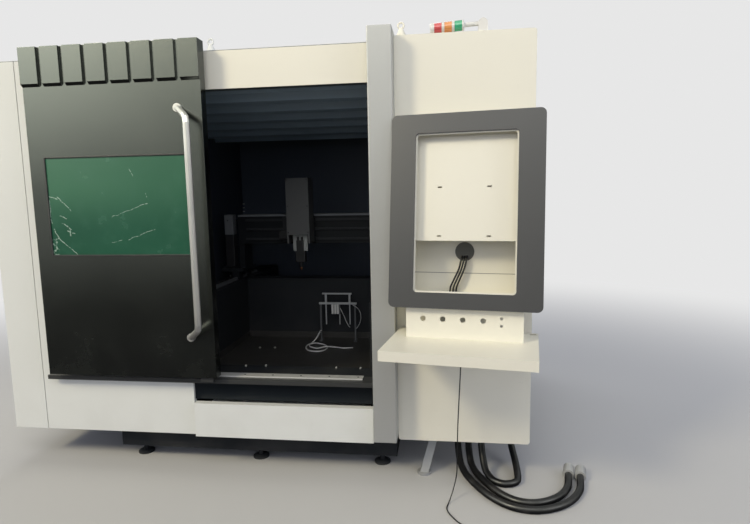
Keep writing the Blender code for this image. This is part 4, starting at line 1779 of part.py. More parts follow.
clear_scene()
PARTS = new_collection("fiber laser cutting machine")
CUTTERS = new_collection("cutters")
MACHINE = new_frame("machine", (0.0, 0.0, 0.0))
DOOR_FRAME = new_frame("door", (0.0, 0.0, 0.0), MACHINE)
GANTRY_FRAME = new_frame("gantry", (0.0, 0.0, 0.0), MACHINE)
CARRIAGE_FRAME = new_frame("carriage", (0.0, 0.0, 0.0), GANTRY_FRAME)
HEAD_FRAME = new_frame("head", (0.0, 0.0, 0.0), CARRIAGE_FRAME)
DRAWER_FRAME = new_frame("drawer", (0.0, 0.0, 0.0), MACHINE)
OPERATOR_FRAME = new_frame("operator_axis", (*SWING_AXIS, 0.0), MACHINE, -SWING_REST)
LAMP_FRAME = new_frame("lamp_axis", (LAMP_X, LAMP_Y, CONSOLE_HEIGHT + LAMP_AXIS_HEIGHT), MACHINE)
LAMP_FRAME.rotation_euler = (0.0, -LAMP_DROOP, 0.0)

BED = make_bed()
make_chip_floor()
make_left_end_cover()
make_left_front_panel()
make_header()
make_pillar()
make_roof()
make_rear()
make_ceiling()
make_partition()
make_sill()
make_recess()
make_drawer()
make_door()
make_y_axis("left", -1, BED)
make_y_axis("right", 1, BED)
make_gantry()
make_carriage()
make_valve_rack()
make_laser_source()
make_drive_plate()
make_console()
make_housing()
make_bezel()
make_monitor_plate()
make_grommet()
make_button_panel()
make_tray()
make_lamp()
make_monitor_cables()
make_panel_cord()
make_hoses()
make_air_tube()
centre_footprint()
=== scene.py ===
"""Looks of the enclosed laser cutting machine: finishes, cables, fixings, studio and camera."""
import math

import bmesh
import bpy
from mathutils import Matrix, Vector


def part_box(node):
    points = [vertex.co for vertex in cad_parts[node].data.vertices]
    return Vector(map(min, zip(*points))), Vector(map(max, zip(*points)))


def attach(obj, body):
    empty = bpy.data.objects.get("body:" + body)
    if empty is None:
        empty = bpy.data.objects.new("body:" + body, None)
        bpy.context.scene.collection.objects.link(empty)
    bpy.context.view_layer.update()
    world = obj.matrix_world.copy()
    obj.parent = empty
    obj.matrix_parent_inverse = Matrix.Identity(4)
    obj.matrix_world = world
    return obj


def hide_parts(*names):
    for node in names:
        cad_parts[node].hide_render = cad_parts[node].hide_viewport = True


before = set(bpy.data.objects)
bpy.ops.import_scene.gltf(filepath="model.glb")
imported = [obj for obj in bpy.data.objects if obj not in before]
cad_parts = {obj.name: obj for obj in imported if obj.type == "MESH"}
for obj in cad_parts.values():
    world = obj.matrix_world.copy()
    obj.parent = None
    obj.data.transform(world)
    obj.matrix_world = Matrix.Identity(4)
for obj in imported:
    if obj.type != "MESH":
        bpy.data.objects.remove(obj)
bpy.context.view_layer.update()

# The machine's own zero: middle of the body in X, the front panel plane in Y, the floor in Z.
HALF_BODY = 1.2625
ROOF_LOW = Vector(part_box("roof_panel")[0])
ZERO = Vector((ROOF_LOW.x + HALF_BODY, ROOF_LOW.y, 0.0))
# The operator unit's hinge line, and how far the unit stands open at rest.
SWING_AXIS = (0.700, -0.105, 0.0)
SWING_REST = math.radians(9.0)
# The clearance between touching pieces, their overlap where they are fused, and the sheet.
GAP = 0.0003
OVERLAP = 0.001
SHEET = 0.003
UP, FRONT, BACK = (0, 0, 1), (0, -1, 0), (0, 1, 0)

# The camera solved from the photo's straight edges: place from the machine's own zero, angles in
# radians, lens and sensor in mm.
CAMERA_PLACE = (0.8825, -2.353, 1.317)
CAMERA_YAW = 0.12756
CAMERA_PITCH = 0.12407
CAMERA_ROLL = -0.01804
CAMERA_LENS = 25.845
CAMERA_SENSOR = 36.0
CAMERA_REACH = 100.0

# Cords: diameters, and the places that they leave from, the same as the CAD's own.
HOSE = 0.032
MONITOR_CABLE = 0.008
PANEL_CORD = 0.005
AIR_TUBE = 0.008
RACK_WIRE = 0.004
CONSOLE_BASE_HEIGHT = 0.262
GLAND_LENGTH = 0.030
GLAND_TOP = CONSOLE_BASE_HEIGHT - GLAND_LENGTH + OVERLAP - GAP
GLANDS = {"long": (0.975, 0.235), "out": (1.060, 0.165), "back": (1.205, 0.300)}
HOSE_SPREAD = 0.8 * HOSE
TRAY_TOP = 0.737
CORD_BOSS_LENGTH = 0.016
CORD_EXIT = (0.2538, 0.0402, 0.0)
HOUSING_BACK = 0.085
HOUSING_BOTTOM = 0.885
GROMMET_X = 0.262
GROMMET_HEIGHT = 1.073
GROMMET_LIP = 0.004
CABLE_SLOT = (0.215, HOUSING_BACK - 8 * SHEET)
CABLE_SPACING = 0.011

# Places on the CAD that finishes or fittings refer to: the middles of the rear lids and of the Y
# rails in X, the heights of the X rails, and the pitch of the rails' screws.
REAR_LIDS = (-0.85125, 0.969)
Y_RAILS = (-0.440, 0.570)
X_RAILS = (1.050, 1.170)
RAIL_PITCH = 0.060

# Colours that more than one finish uses.
PALE = (0.80, 0.80, 0.80)
# INSIDE: the chamber's dark inner paint, made darker as painted shade of the closed chamber.
INSIDE = (0.070, 0.082, 0.105)
WHITE_PAINT = (0.745, 0.760, 0.735)
CREAM_PAINT = (0.800, 0.775, 0.670)
SHEET_DUST = (0.33, 0.31, 0.27)
RUBBER_DUST = (0.16, 0.15, 0.14)

# Half the widths over which two paints of one piece meet.
FINE_EDGE = 0.0002
EDGE = 0.0004
SOFT_EDGE = 0.001


def machine(x, y, z):
    """A place given from the machine's own zero."""
    return ZERO + Vector((x, y, z))


OPERATOR = Matrix.Translation(machine(*SWING_AXIS)) @ Matrix.Rotation(-SWING_REST, 4, "Z")


class Value:
    """A shader value that takes part in plain arithmetic."""

    def __init__(self, shader, output):
        self.shader = shader
        self.output = output

    def maths(self, operation, first, second):
        return self.shader.node("ShaderNodeMath", {"operation": operation}, {0: first, 1: second})

    def __add__(self, other):
        return self.maths("ADD", self, other)

    def __sub__(self, other):
        return self.maths("SUBTRACT", self, other)

    def __rsub__(self, other):
        return self.maths("SUBTRACT", other, self)

    def __mul__(self, other):
        return self.maths("MULTIPLY", self, other)

    def __abs__(self):
        return self.maths("ABSOLUTE", self, 0.0)

    def root(self):
        return self.maths("SQRT", self, 0.0)

    def most(self, other):
        return self.maths("MAXIMUM", self, other)

    def step(self, low, high):
        """0 below low and 1 above high, with a smooth change between them."""
        return self.shader.node("ShaderNodeMapRange", {"interpolation_type": "SMOOTHSTEP"},
                                {"Value": self, "From Min": low, "From Max": high})

    def past(self, level, blur):
        """0 before a level and 1 past it."""
        return self.step(level - blur, level + blur)

    def band(self, low, high, blur):
        """1 between low and high and 0 outside them."""
        return self.past(low, blur) * (1.0 - self.past(high, blur))


class Shader:
    """A node tree in the making."""

    def __init__(self, tree):
        self.tree = tree

    def node(self, kind, settings, sockets, result=0):
        """Any node: its settings first, then the values or links of its sockets."""
        made = self.tree.nodes.new(kind)
        for name, item in settings.items():
            setattr(made, name, item)
        for name, item in sockets.items():
            self.feed(made.inputs[name], item)
        return Value(self, made.outputs[result])

    def feed(self, socket, item):
        """Links a shader value to a socket, or writes a plain number, vector or colour in it."""
        if isinstance(item, Value):
            self.tree.links.new(item.output, socket)
        elif isinstance(item, (tuple, list)) and len(socket.default_value) == 4:
            socket.default_value = (*item, 1.0)
        else:
            socket.default_value = item

    def mix(self, factor, first, second):
        """The first colour where the factor is 0 and the second where it is 1."""
        return self.node("ShaderNodeMix", {"data_type": "RGBA"},
                         {0: factor, 6: first, 7: second}, 2)

    def split(self, vector):
        """The three parts of a vector."""
        made = self.tree.nodes.new("ShaderNodeSeparateXYZ")
        self.feed(made.inputs[0], vector)
        return [Value(self, output) for output in made.outputs]


class Look(Shader):
    """One procedural finish, in the piece's own object coordinates."""

    def __init__(self, name, colour, roughness, metallic=0.0):
        self.material = bpy.data.materials.new(name)
        self.material.use_nodes = True
        super().__init__(self.material.node_tree)
        self.surface = self.tree.nodes["Principled BSDF"]
        self.material.diffuse_color = (*colour, 1.0)
        self.put("Base Color", colour)
        self.put("Roughness", roughness)
        self.put("Metallic", metallic)
        self.coordinates = self.node("ShaderNodeTexCoord", {}, {}, "Object")

    def put(self, name, item):
        self.feed(self.surface.inputs[name], item)

    def place(self):
        """X, Y and Z from the machine's own zero."""
        x, y, z = self.split(self.coordinates)
        return x - ZERO.x, y - ZERO.y, z

    def noise(self, scale, detail=2.0, stretch=None):
        vector = self.coordinates
        if stretch:
            vector = self.node("ShaderNodeMapping", {}, {"Vector": vector, "Scale": stretch})
        return self.node("ShaderNodeTexNoise", {},
                         {"Vector": vector, "Scale": scale, "Detail": detail})

    def bump(self, height, strength, distance, rounding=0.0):
        """Fine relief, over edges that look rounded by the given radius."""
        sockets = {"Strength": strength, "Distance": distance, "Height": height}
        if rounding:
            sockets["Normal"] = self.node("ShaderNodeBevel", {"samples": 4}, {"Radius": rounding})
        self.put("Normal", self.node("ShaderNodeBump", {}, sockets))
        return self


def shade(colour, factor):
    """The colour, made darker or lighter by a factor."""
    return tuple(min(1.0, channel * factor) for channel in colour)


def powder_coat(name, colour, roughness=0.42, peel=0.25, mottle=0.04, grime=0.10, grime_top=0.55,
                metallic=0.0, gloss=0.5, paint=None):
    """Sprayed powder coat: orange peel, faint mottling, and dust that thins out up the sheet.
    The paint function, if any, recolours places of the finish."""
    look = Look(name, colour, roughness, metallic)
    patch = look.noise(1.6, 3.0)
    fine = look.noise(34.0, 3.0)
    height = look.place()[2]
    dust = (1.0 - height.step(0.12, grime_top)) * look.noise(6.0, 4.0).step(0.35, 0.75)
    body = look.mix(patch, shade(colour, 1.0 - mottle), shade(colour, 1.0 + mottle))
    body = look.mix(fine.step(0.62, 0.80) * 0.35, body, shade(colour, 0.94))
    body = look.mix(dust * grime, body, SHEET_DUST)
    look.put("Base Color", paint(look, body) if paint else body)
    look.put("Specular IOR Level", gloss)
    look.put("Roughness", patch * 0.10 + fine * 0.06 + (roughness - 0.08) + dust * 0.12)
    return look.bump(look.noise(420.0, 2.0), peel, 0.00035, 0.0012)


def steel(name, colour, roughness, grain=(2.0, 90.0, 90.0), depth=0.08, metallic=1.0):
    """Bare or plated metal; the grain is how fine the marks are along X, Y and Z."""
    look = Look(name, colour, roughness, metallic)
    lines = look.noise(9.0, 3.0, grain)
    patch = look.noise(5.0, 3.0)
    look.put("Base Color", look.mix(patch.step(0.35, 0.75), colour, shade(colour, 0.82)))
    look.put("Roughness", lines * 0.14 + patch * 0.10 + (roughness - 0.12))
    return look.bump(lines, depth, 0.0003, 0.0006)


def rubber(name, colour, roughness=0.55, dust_share=0.22):
    """Matt rubber with patches of dust."""
    look = Look(name, colour, roughness)
    dust = look.noise(16.0, 4.0).step(0.45, 0.80)
    look.put("Base Color", look.mix(dust * dust_share, colour, RUBBER_DUST))
    look.put("Roughness", dust * 0.20 + (roughness - 0.04))
    return look.bump(look.noise(260.0, 2.0), 0.18, 0.0003)


def plastic(name, colour, roughness=0.35):
    """Smooth plastic with a faint mottle."""
    look = Look(name, colour, roughness)
    patch = look.noise(22.0, 3.0)
    look.put("Base Color", look.mix(patch, shade(colour, 0.96), shade(colour, 1.03)))
    look.put("Roughness", patch * 0.10 + (roughness - 0.05))
    return look.bump(look.noise(300.0, 2.0), 0.08, 0.0002)


def dark_inside(axis, wall, above=False, below_height=None):
    """Paints a sheet's inner face, which lies on one side of a plane, in the chamber's dark
    colour: dark inner paint, darkened further as painted shade of the closed chamber.
    """
    fade = 0.004

    def paint(look, body):
        place = look.place()
        far = place[axis].past(wall, EDGE)
        inner = far if above else 1.0 - far
        if below_height:
            inner = inner * (1.0 - place[2].step(below_height, below_height + fade))
        return look.mix(inner, body, INSIDE)
    return paint


def rear_paint(look, body):
    """The rear sheet's inner side painted dark, partly as dark inner paint and partly as painted
    shade of the closed chamber; its outer flanges stay white.
    """
    inner_face, sides, heights = 1.7985, (-1.2200, 1.2605), (0.2000, 1.9560)
    # The inner side's colour is dark inner paint that also stands in for painted shade of the
    # closed chamber.
    dark = (0.130, 0.152, 0.190)
    x, y, z = look.place()
    inner = (1.0 - y.past(inner_face, EDGE)) * x.band(*sides, EDGE) * z.band(*heights, EDGE)
    return look.mix(inner, body, dark)


def housing_seam(look, body):
    """The joint between the two sheets of the operator housing's back."""
    heights, depths, shadow = (0.9800, 0.9826), (0.074, 0.078), (0.20, 0.19, 0.17)
    x, y, z = look.place()
    depth = ((y - SWING_AXIS[1]) * math.cos(SWING_REST)
             + (x - SWING_AXIS[0]) * math.sin(SWING_REST))
    return look.mix(z.band(*heights, EDGE) * depth.step(*depths), body, shadow)


def gantry_paint(look, body):
    """Painted highlight along the top edge, and ground rails and rack painted dark as shade, on
    the painted beam.
    """
    # The pale top edge is a painted highlight along the dust cover's edge; the bare rails and
    # rack are darkened as painted shade.
    top_edge, pale = 1.1932, (0.22, 0.23, 0.24)
    rail_back, rail_foot, bare = 0.9692, (1.030, 1.031), (0.034, 0.036, 0.040)
    x, y, z = look.place()
    ground = (1.0 - y.past(rail_back, FINE_EDGE)) * z.step(*rail_foot)
    return look.mix(ground, look.mix(z.past(top_edge, FINE_EDGE), body, pale), bare)


def bed_paint(look, body):
    """Ground Y rails on the painted side beams."""
    half_width, foot, bare = 0.0110, 0.7904, (0.11, 0.115, 0.12)
    x, y, z = look.place()
    left, right = (abs(x - middle).past(half_width, FINE_EDGE) for middle in Y_RAILS)
    return look.mix((1.0 - left * right) * z.past(foot, FINE_EDGE), body, bare)


def rack_paint(look, body):
    """Plated bar, knobs and rod, white cylinders, dark posts."""
    bar_foot, left_knob, right_knob, rod = 0.635, (0.128, 0.156), (0.284, 0.312), (0.228, 0.238)
    cylinders, cylinder_foot, cylinder_top = (0.170, 0.2268), 0.572, 0.6365
    plated, white, blur = (0.46, 0.47, 0.47), (0.74, 0.74, 0.71), 0.0006
    x, y, z = look.place()
    metal = (z.past(bar_foot, SOFT_EDGE) + x.band(*left_knob, SOFT_EDGE)
             + x.band(*right_knob, SOFT_EDGE)
             + x.band(*rod, blur) * (1.0 - z.past(cylinder_foot, SOFT_EDGE))).step(0.4, 0.6)
    cylinder = x.band(*cylinders, blur) * z.band(cylinder_foot, cylinder_top, blur)
    return look.mix(cylinder, look.mix(metal, body, plated), white)


def motor_paint(look, body):
    """Black motor with a cast aluminium gearbox at its upper end."""
    gearbox_foot, cast = 1.076, (0.21, 0.22, 0.23)
    return look.mix(look.place()[2].past(gearbox_foot, SOFT_EDGE), body, cast)


WHITE = powder_coat("white sheet", WHITE_PAINT, gloss=0.3)
REAR = powder_coat("rear sheet", WHITE_PAINT, gloss=0.3, paint=rear_paint)
ROOF = powder_coat("roof sheet", WHITE_PAINT, gloss=0.1, paint=dark_inside(2, 1.9585))
HEADER = powder_coat("header sheet", CREAM_PAINT, paint=dark_inside(1, 0.0035, above=True))
CREAM = powder_coat("console sheet", CREAM_PAINT, grime=0.06)
CONSOLE = powder_coat("console shell", CREAM_PAINT, grime=0.06,
                      paint=dark_inside(0, 0.6762, below_height=1.953))
HOUSING = powder_coat("operator housing sheet", CREAM_PAINT, grime=0.0, paint=housing_seam)
GREY = powder_coat("pale grey sheet", (0.440, 0.445, 0.437), roughness=0.40, metallic=0.30)
BASE_GREY = powder_coat("base grey sheet", (0.330, 0.335, 0.335), roughness=0.45)
CHARCOAL = powder_coat("charcoal sheet", (0.126, 0.134, 0.124), roughness=0.24, peel=0.30,
                       mottle=0.12, grime=0.02, grime_top=0.9, metallic=1.0)
LEDGE = powder_coat("ledge sheet", (0.034, 0.035, 0.036), roughness=0.45, grime=0.06)
RECESS = powder_coat("recess sheet", (0.0045, 0.0075, 0.0115), roughness=0.34, grime=0.02,
                     gloss=0.35)
BEZEL = powder_coat("bezel sheet", (0.062, 0.062, 0.065), roughness=0.40, peel=0.5, grime=0.0,
                    metallic=0.35)
# Dark interior paint that also carries painted shade of the closed chamber.
INTERIOR = powder_coat("interior paint and shade", INSIDE, roughness=0.50, grime=0.02, gloss=0.05)
RIBS = powder_coat("ceiling paint", (0.300, 0.400, 0.500), roughness=0.46, grime=0.0)
BED = powder_coat("bed paint", (0.014, 0.016, 0.020), roughness=0.55, mottle=0.15, grime=0.06,
                  grime_top=0.9, gloss=0.25, paint=bed_paint)
FLOOR_PAINT = powder_coat("chip floor paint", (0.030, 0.029, 0.028), roughness=0.42, mottle=0.25,
                          grime=0.08, grime_top=0.8)
MOTOR = powder_coat("motor paint", (0.016, 0.016, 0.018), roughness=0.45, grime=0.0)
Y_MOTOR = powder_coat("drive motor paint", (0.020, 0.020, 0.022), roughness=0.45, grime=0.0,
                      paint=motor_paint)
AXIS_GREY = powder_coat("axis cover", (0.095, 0.097, 0.097), roughness=0.50, grime=0.0)
GANTRY = powder_coat("gantry paint", (0.012, 0.014, 0.017), roughness=0.52, grime=0.0,
                     gloss=0.25, paint=gantry_paint)
RACK = powder_coat("rack paint", (0.110, 0.115, 0.120), roughness=0.48, grime=0.0,
                   paint=rack_paint)
STAINLESS = steel("stainless", (0.700, 0.690, 0.670), 0.34, (60.0, 60.0, 2.0), metallic=0.75)
STRIP = steel("stainless strip", (0.760, 0.760, 0.740), 0.36, (2.0, 60.0, 60.0), metallic=0.45)
GROUND = steel("ground steel", (0.420, 0.430, 0.440), 0.26, (60.0, 3.0, 60.0), 0.05)
ZINC = steel("zinc plate", (0.500, 0.515, 0.520), 0.42, (12.0, 12.0, 12.0), 0.06, 0.85)
BOLT = steel("bolt steel", (0.560, 0.560, 0.550), 0.36, (20.0, 20.0, 20.0), 0.05)
BLACK_BOLT = steel("blackened bolt", (0.045, 0.045, 0.048), 0.42, (20.0, 20.0, 20.0), 0.05, 0.6)
COUPLING = steel("coupling steel", (0.640, 0.640, 0.625), 0.36, (20.0, 20.0, 20.0), 0.05, 0.4)
COPPER = steel("copper", (0.560, 0.270, 0.150), 0.30, (30.0, 30.0, 30.0), 0.04)
RUBBER = rubber("black rubber", (0.014, 0.014, 0.016))
GROMMET = rubber("grommet rubber", (0.105, 0.104, 0.092), 0.5, 0.1)
HOSE_SKIN = rubber("hose rubber", (0.011, 0.011, 0.012), 0.36, 0.10)
CABLE_SKIN = plastic("cable sheath", (0.012, 0.012, 0.013), 0.38)
WHITE_PLASTIC = plastic("white plastic", (0.740, 0.730, 0.690), 0.36)
PALE_TUBE = plastic("pale tube", (0.640, 0.640, 0.620), 0.34)


# Scratches in the glazing: start in X and Z, length, angle in degrees, width.
SCRATCHES = (
    (-0.909, 1.338, 0.046, -18, 0.0032), (-0.865, 1.333, 0.090, -45, 0.0022),
    (-0.859, 1.247, 0.037, -22, 0.0026), (-0.852, 1.215, 0.057, -35, 0.0028),
    (-0.815, 1.182, 0.027, -85, 0.0026), (-0.830, 1.178, 0.040, -20, 0.0026),
    (-0.879, 1.146, 0.120, -39, 0.0020), (-0.906, 1.320, 0.108, -88, 0.0030),
    (-0.603, 1.239, 0.183, 19, 0.0016), (-0.534, 1.134, 0.142, 20, 0.0014),
    (-0.613, 1.121, 0.052, 15, 0.0012), (-0.894, 1.187, 0.056, -63, 0.0026),
    (-0.509, 1.455, 0.041, -60, 0.0016), (-0.436, 1.343, 0.028, -65, 0.0014))


def scratch_marks(look, x, z):
    """1 on the scratches and on the scuffed lower left corner, 0 elsewhere."""
    wander = (look.noise(38.0, 3.0) - 0.5) * 0.016
    broken = look.noise(120.0, 2.0).step(0.36, 0.52)
    marks = None
    for left, start, length, angle, width in SCRATCHES:
        turn = math.radians(angle)
        across, rise = x - left, z - start
        along = across * math.cos(turn) + rise * math.sin(turn)
        aside = abs(rise * math.cos(turn) - across * math.sin(turn) + wander)
        line = along.band(0.0, length, 0.004) * (1.0 - aside.step(width * 0.35, width))
        marks = line if marks is None else marks.most(line)
    corner = x.band(-0.912, -0.880, 0.008) * z.band(1.060, 1.140, 0.014)
    return (marks * broken * 0.8).most(corner * look.noise(70.0, 4.0).step(0.52, 0.60) * 0.7)


def window_look():
    """Dark green glazing with scratches that gather at its left edge. A pale layer, partly dust
    and partly painted reflection, thickens up the pane and thins out to the right."""
    deep, clear = (0.006, 0.066, 0.034), (0.010, 0.094, 0.050)
    dust_film_and_reflection_colour, blotted, scratched = (0.048, 0.160, 0.090), (0.040, 0.150, 0.095), (0.42, 0.56, 0.48)
    look = Look("laser safe glazing", (0.006, 0.080, 0.040), 0.16)
    x, y, z = look.place()
    marks = scratch_marks(look, x, z)
    haze = look.noise(2.2, 4.0)
    blot = look.noise(14.0, 4.0).step(0.45, 0.85)
    # Painted reflection, partly dust: the pane is made paler towards the top and towards the
    # left.
    dust_film_and_reflection = z.step(1.160, 1.400) * (1.0 - x.step(-1.000, -0.150) * 0.40)
    tint = look.mix(dust_film_and_reflection, look.mix(haze, deep, clear), dust_film_and_reflection_colour)
    tint = look.mix(blot * 0.30, tint, blotted)
    look.put("Base Color", look.mix(marks, tint, scratched))
    look.put("Roughness", haze * 0.16 + blot * 0.08 + marks * 0.35 + 0.14)
    look.put("Coat Weight", 0.2)
    look.put("Coat Roughness", 0.20)
    return look


def lamp_look():
    """White lamp body with green, amber and red lenses, counted along X from the pivot."""
    first, pitch, width = 0.961, 0.042, 0.031
    white, paler = (0.70, 0.70, 0.66), (0.76, 0.76, 0.72)
    look = Look("lamp body", white, 0.32)
    x = look.place()[0]
    body = look.mix(look.noise(30.0, 2.0), white, paler)
    ribs = look.noise(1.0, 0.0, (1.0, 300.0, 300.0))
    lit = None
    for number, tint in enumerate(((0.060, 0.420, 0.210), (0.780, 0.320, 0.100),
                                   (0.620, 0.090, 0.090))):
        start = first - number * pitch
        lens = x.band(start - width, start, EDGE)
        body = look.mix(lens, body, look.mix(ribs, shade(tint, 0.8), shade(tint, 1.25)))
        lit = lens if lit is None else lit + lens
    look.put("Base Color", body)
    look.put("Roughness", 0.34 - lit * 0.14)
    look.put("Coat Weight", lit * 0.6)
    return look


# The CAD nodes that each finish dresses; the cords' nodes are replaced and need none.
FINISHES = {
    WHITE: ("left_end_cover", "left_front_panel", "scrap_drawer"),
    ROOF: ("roof_panel",),
    REAR: ("rear_panel",),
    HEADER: ("header_band",),
    CONSOLE: ("console_body",),
    CREAM: ("console_front", "monitor_plate", "button_panel", "keyboard_tray"),
    HOUSING: ("operator_housing",),
    GREY: ("pillar",),
    LEDGE: ("sill_ledge",),
    BASE_GREY: ("console_base",),
    CHARCOAL: ("door_leaf",),
    RECESS: ("recess_panel",),
    BEZEL: ("operator_bezel",),
    RIBS: ("ceiling_ribs",),
    INTERIOR: ("left_partition",),
    BED: ("bed_frame",),
    FLOOR_PAINT: ("chip_floor",),
    STRIP: ("sill_strip",),
    STAINLESS: ("door_handle",),
    GROUND: ("door_roller_left", "door_roller_right", "door_track", "y_rack_left",
             "y_rack_right", "y_pinion_left", "y_pinion_right", "x_pinion"),
    COUPLING: ("hose_coupling", "hose_coupling_inner"),
    GROMMET: ("cable_grommet",),
    RUBBER: ("panel_cord_plug",),
    Y_MOTOR: ("y_motor_left", "y_motor_right"),
    MOTOR: ("x_motor", "z_actuator", "cutting_head"),
    GANTRY: ("gantry_beam", "x_carriage"),
    AXIS_GREY: ("z_cover",),
    COPPER: ("nozzle",),
    ZINC: ("z_slide", "laser_source", "drive_plate"),
    RACK: ("valve_rack",),
    WHITE_PLASTIC: ("lamp_base",),
    window_look(): ("door_window",),
    lamp_look(): ("lamp_tower",),
}
for finish, node_names in FINISHES.items():
    for node_name in node_names:
        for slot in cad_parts[node_name].material_slots:
            slot.material = finish.material


def build_camera():
    """The photo's camera: yaw and pitch from straight ahead, then roll about the view."""
    data = bpy.data.cameras.new("camera")
    data.lens = CAMERA_LENS
    data.sensor_width = CAMERA_SENSOR
    data.sensor_fit = "HORIZONTAL"
    data.clip_end = CAMERA_REACH
    camera = bpy.data.objects.new("camera", data)
    bpy.context.scene.collection.objects.link(camera)
    sy, cy = math.sin(CAMERA_YAW), math.cos(CAMERA_YAW)
    sp, cp = math.sin(CAMERA_PITCH), math.cos(CAMERA_PITCH)
    ahead = Vector((-sy * cp, cy * cp, -sp))
    right = Vector((cy, sy, 0.0))
    up = right.cross(ahead)
    sr, cr = math.sin(CAMERA_ROLL), math.cos(CAMERA_ROLL)
    turned_right = right * cr + up * sr
    turned_up = up * cr - right * sr
    turn = Matrix((turned_right, turned_up, -ahead)).transposed().to_4x4()
    camera.matrix_world = Matrix.Translation(machine(*CAMERA_PLACE)) @ turn
    bpy.context.scene.camera = camera


def smooth_route(points, step, lowest=-10.0):
    """Evenly spaced points on a smooth curve through the route's own points."""
    parts = 24
    route = [Vector(p) for p in points]
    padded = [route[0] * 2 - route[1], *route, route[-1] * 2 - route[-2]]
    fine = []
    for i in range(1, len(padded) - 2):
        a, b, c, d = padded[i - 1:i + 3]
        for k in range(parts):
            t = k / parts
            fine.append(0.5 * (2 * b + (c - a) * t + (2 * a - 5 * b + 4 * c - d) * t * t
                               + (3 * b - a - 3 * c + d) * t ** 3))
    fine.append(route[-1])
    total = sum((q - p).length for p, q in zip(fine, fine[1:]))
    count = max(2, round(total / step))
    spaced, walked, goal = [fine[0]], 0.0, total / count
    for p, q in zip(fine, fine[1:]):
        reach = (q - p).length
        while walked + reach >= goal * len(spaced) and len(spaced) < count:
            spaced.append(p.lerp(q, (goal * len(spaced) - walked) / reach))
        walked += reach
    spaced.append(fine[-1])
    return [Vector((p.x, p.y, max(p.z, lowest))) for p in spaced]


def cord(name, points, diameter, look, body, replaced, slot, **facts):
    """A free cord as a round curve; the CAD node that it replaces is hidden."""
    curve = bpy.data.curves.new(name, "CURVE")
    curve.dimensions = "3D"
    curve.bevel_depth = diameter / 2
    curve.bevel_resolution = 5
    curve.use_fill_caps = True
    spline = curve.splines.new("POLY")
    spline.points.add(len(points) - 1)
    for point, place in zip(spline.points, points):
        point.co = (*place, 1.0)
    spline.use_smooth = True
    curve.materials.append(look.material)
    piece = bpy.data.objects.new(name, curve)
    bpy.context.scene.collection.objects.link(piece)
    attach(piece, body)
    if replaced:
        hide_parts(replaced)


def beside(points, shift):
    """The same route moved sideways."""
    heading = Vector((0.0, -1.0))
    moved = []
    for i, point in enumerate(points):
        ahead = Vector(points[min(i + 1, len(points) - 1)]) - Vector(points[max(i - 1, 0)])
        if ahead.xy.length > HOSE / 4:
            heading = ahead.xy.normalized()
        moved.append((point[0] - heading.y * shift, point[1] + heading.x * shift, point[2]))
    return moved


def build_hoses():
    """Two long hoses side by side and one short loop, from the console's glands to the floor.
    Shifts along the routes are in hose diameters."""
    lie, step, coupling_radius = HOSE / 2 + GAP, 0.012, 0.024
    x, y = GLANDS["long"]
    points = [(x, y, GLAND_TOP), (x, y, GLAND_TOP - 1.4 * HOSE),
              (x, y - 0.5 * HOSE, GLAND_TOP - 3.3 * HOSE)]
    for across, forward, height in (
            (0.12, 1.94, 2.2), (0.41, 3.66, 1), (1.16, 5.78, 0), (2.41, 8.44, 0),
            (4.03, 10.94, 0), (6.1, 12.72, 0), (8.6, 13.28, 0), (11.1, 12.5, 0),
            (13.28, 10.78, 0), (14.84, 8.28, 0)):
        points.append((x + across * HOSE, y - forward * HOSE, max(height * HOSE, lie)))
    points.append((x + 15.6 * HOSE, y - 5.3 * HOSE, coupling_radius + GAP))
    for name, coupling, shift in (("hose_long", "hose_coupling", -HOSE_SPREAD),
                                  ("hose_long_inner", "hose_coupling_inner", HOSE_SPREAD)):
        route = smooth_route([machine(*p) for p in beside(points, shift)], step, lie)
        cord(name + "_skin", route, HOSE, HOSE_SKIN, "machine", name, "black_rubber",
             far_end="fitting", stiffness="stiff", lay="loose", with_pieces=[coupling])
    x, y = GLANDS["out"]
    u, v = GLANDS["back"]
    span = u - x
    points = [(x, y, GLAND_TOP), (x, y, GLAND_TOP - 1.4 * HOSE),
              (x, y - 0.56 * HOSE, GLAND_TOP - 3.3 * HOSE),
              (x + 0.04 * span, y - 1.9 * HOSE, 2.25 * HOSE),
              (x + 0.12 * span, y - 3.45 * HOSE, HOSE), (x + 0.33 * span, y - 5.06 * HOSE, lie),
              (x + 0.67 * span, y - 5.8 * HOSE, lie), (x + 1.03 * span, y - 4.94 * HOSE, lie),
              (u + 0.12 * span, v - 6.9 * HOSE, lie),
              (u + 0.11 * span, v - 4.4 * HOSE, 1.25 * HOSE),
              (u + 0.05 * span, v - 2.25 * HOSE, 2.4 * HOSE),
              (u, v - 0.62 * HOSE, GLAND_TOP - 3.1 * HOSE), (u, v, GLAND_TOP - 1.4 * HOSE),
              (u, v, GLAND_TOP)]
    route = smooth_route([machine(*p) for p in points], step, lie)
    cord("hose_loop_skin", route, HOSE, HOSE_SKIN, "machine", "hose_loop", "black_rubber",
         far_end="object", stiffness="stiff", lay="loose")


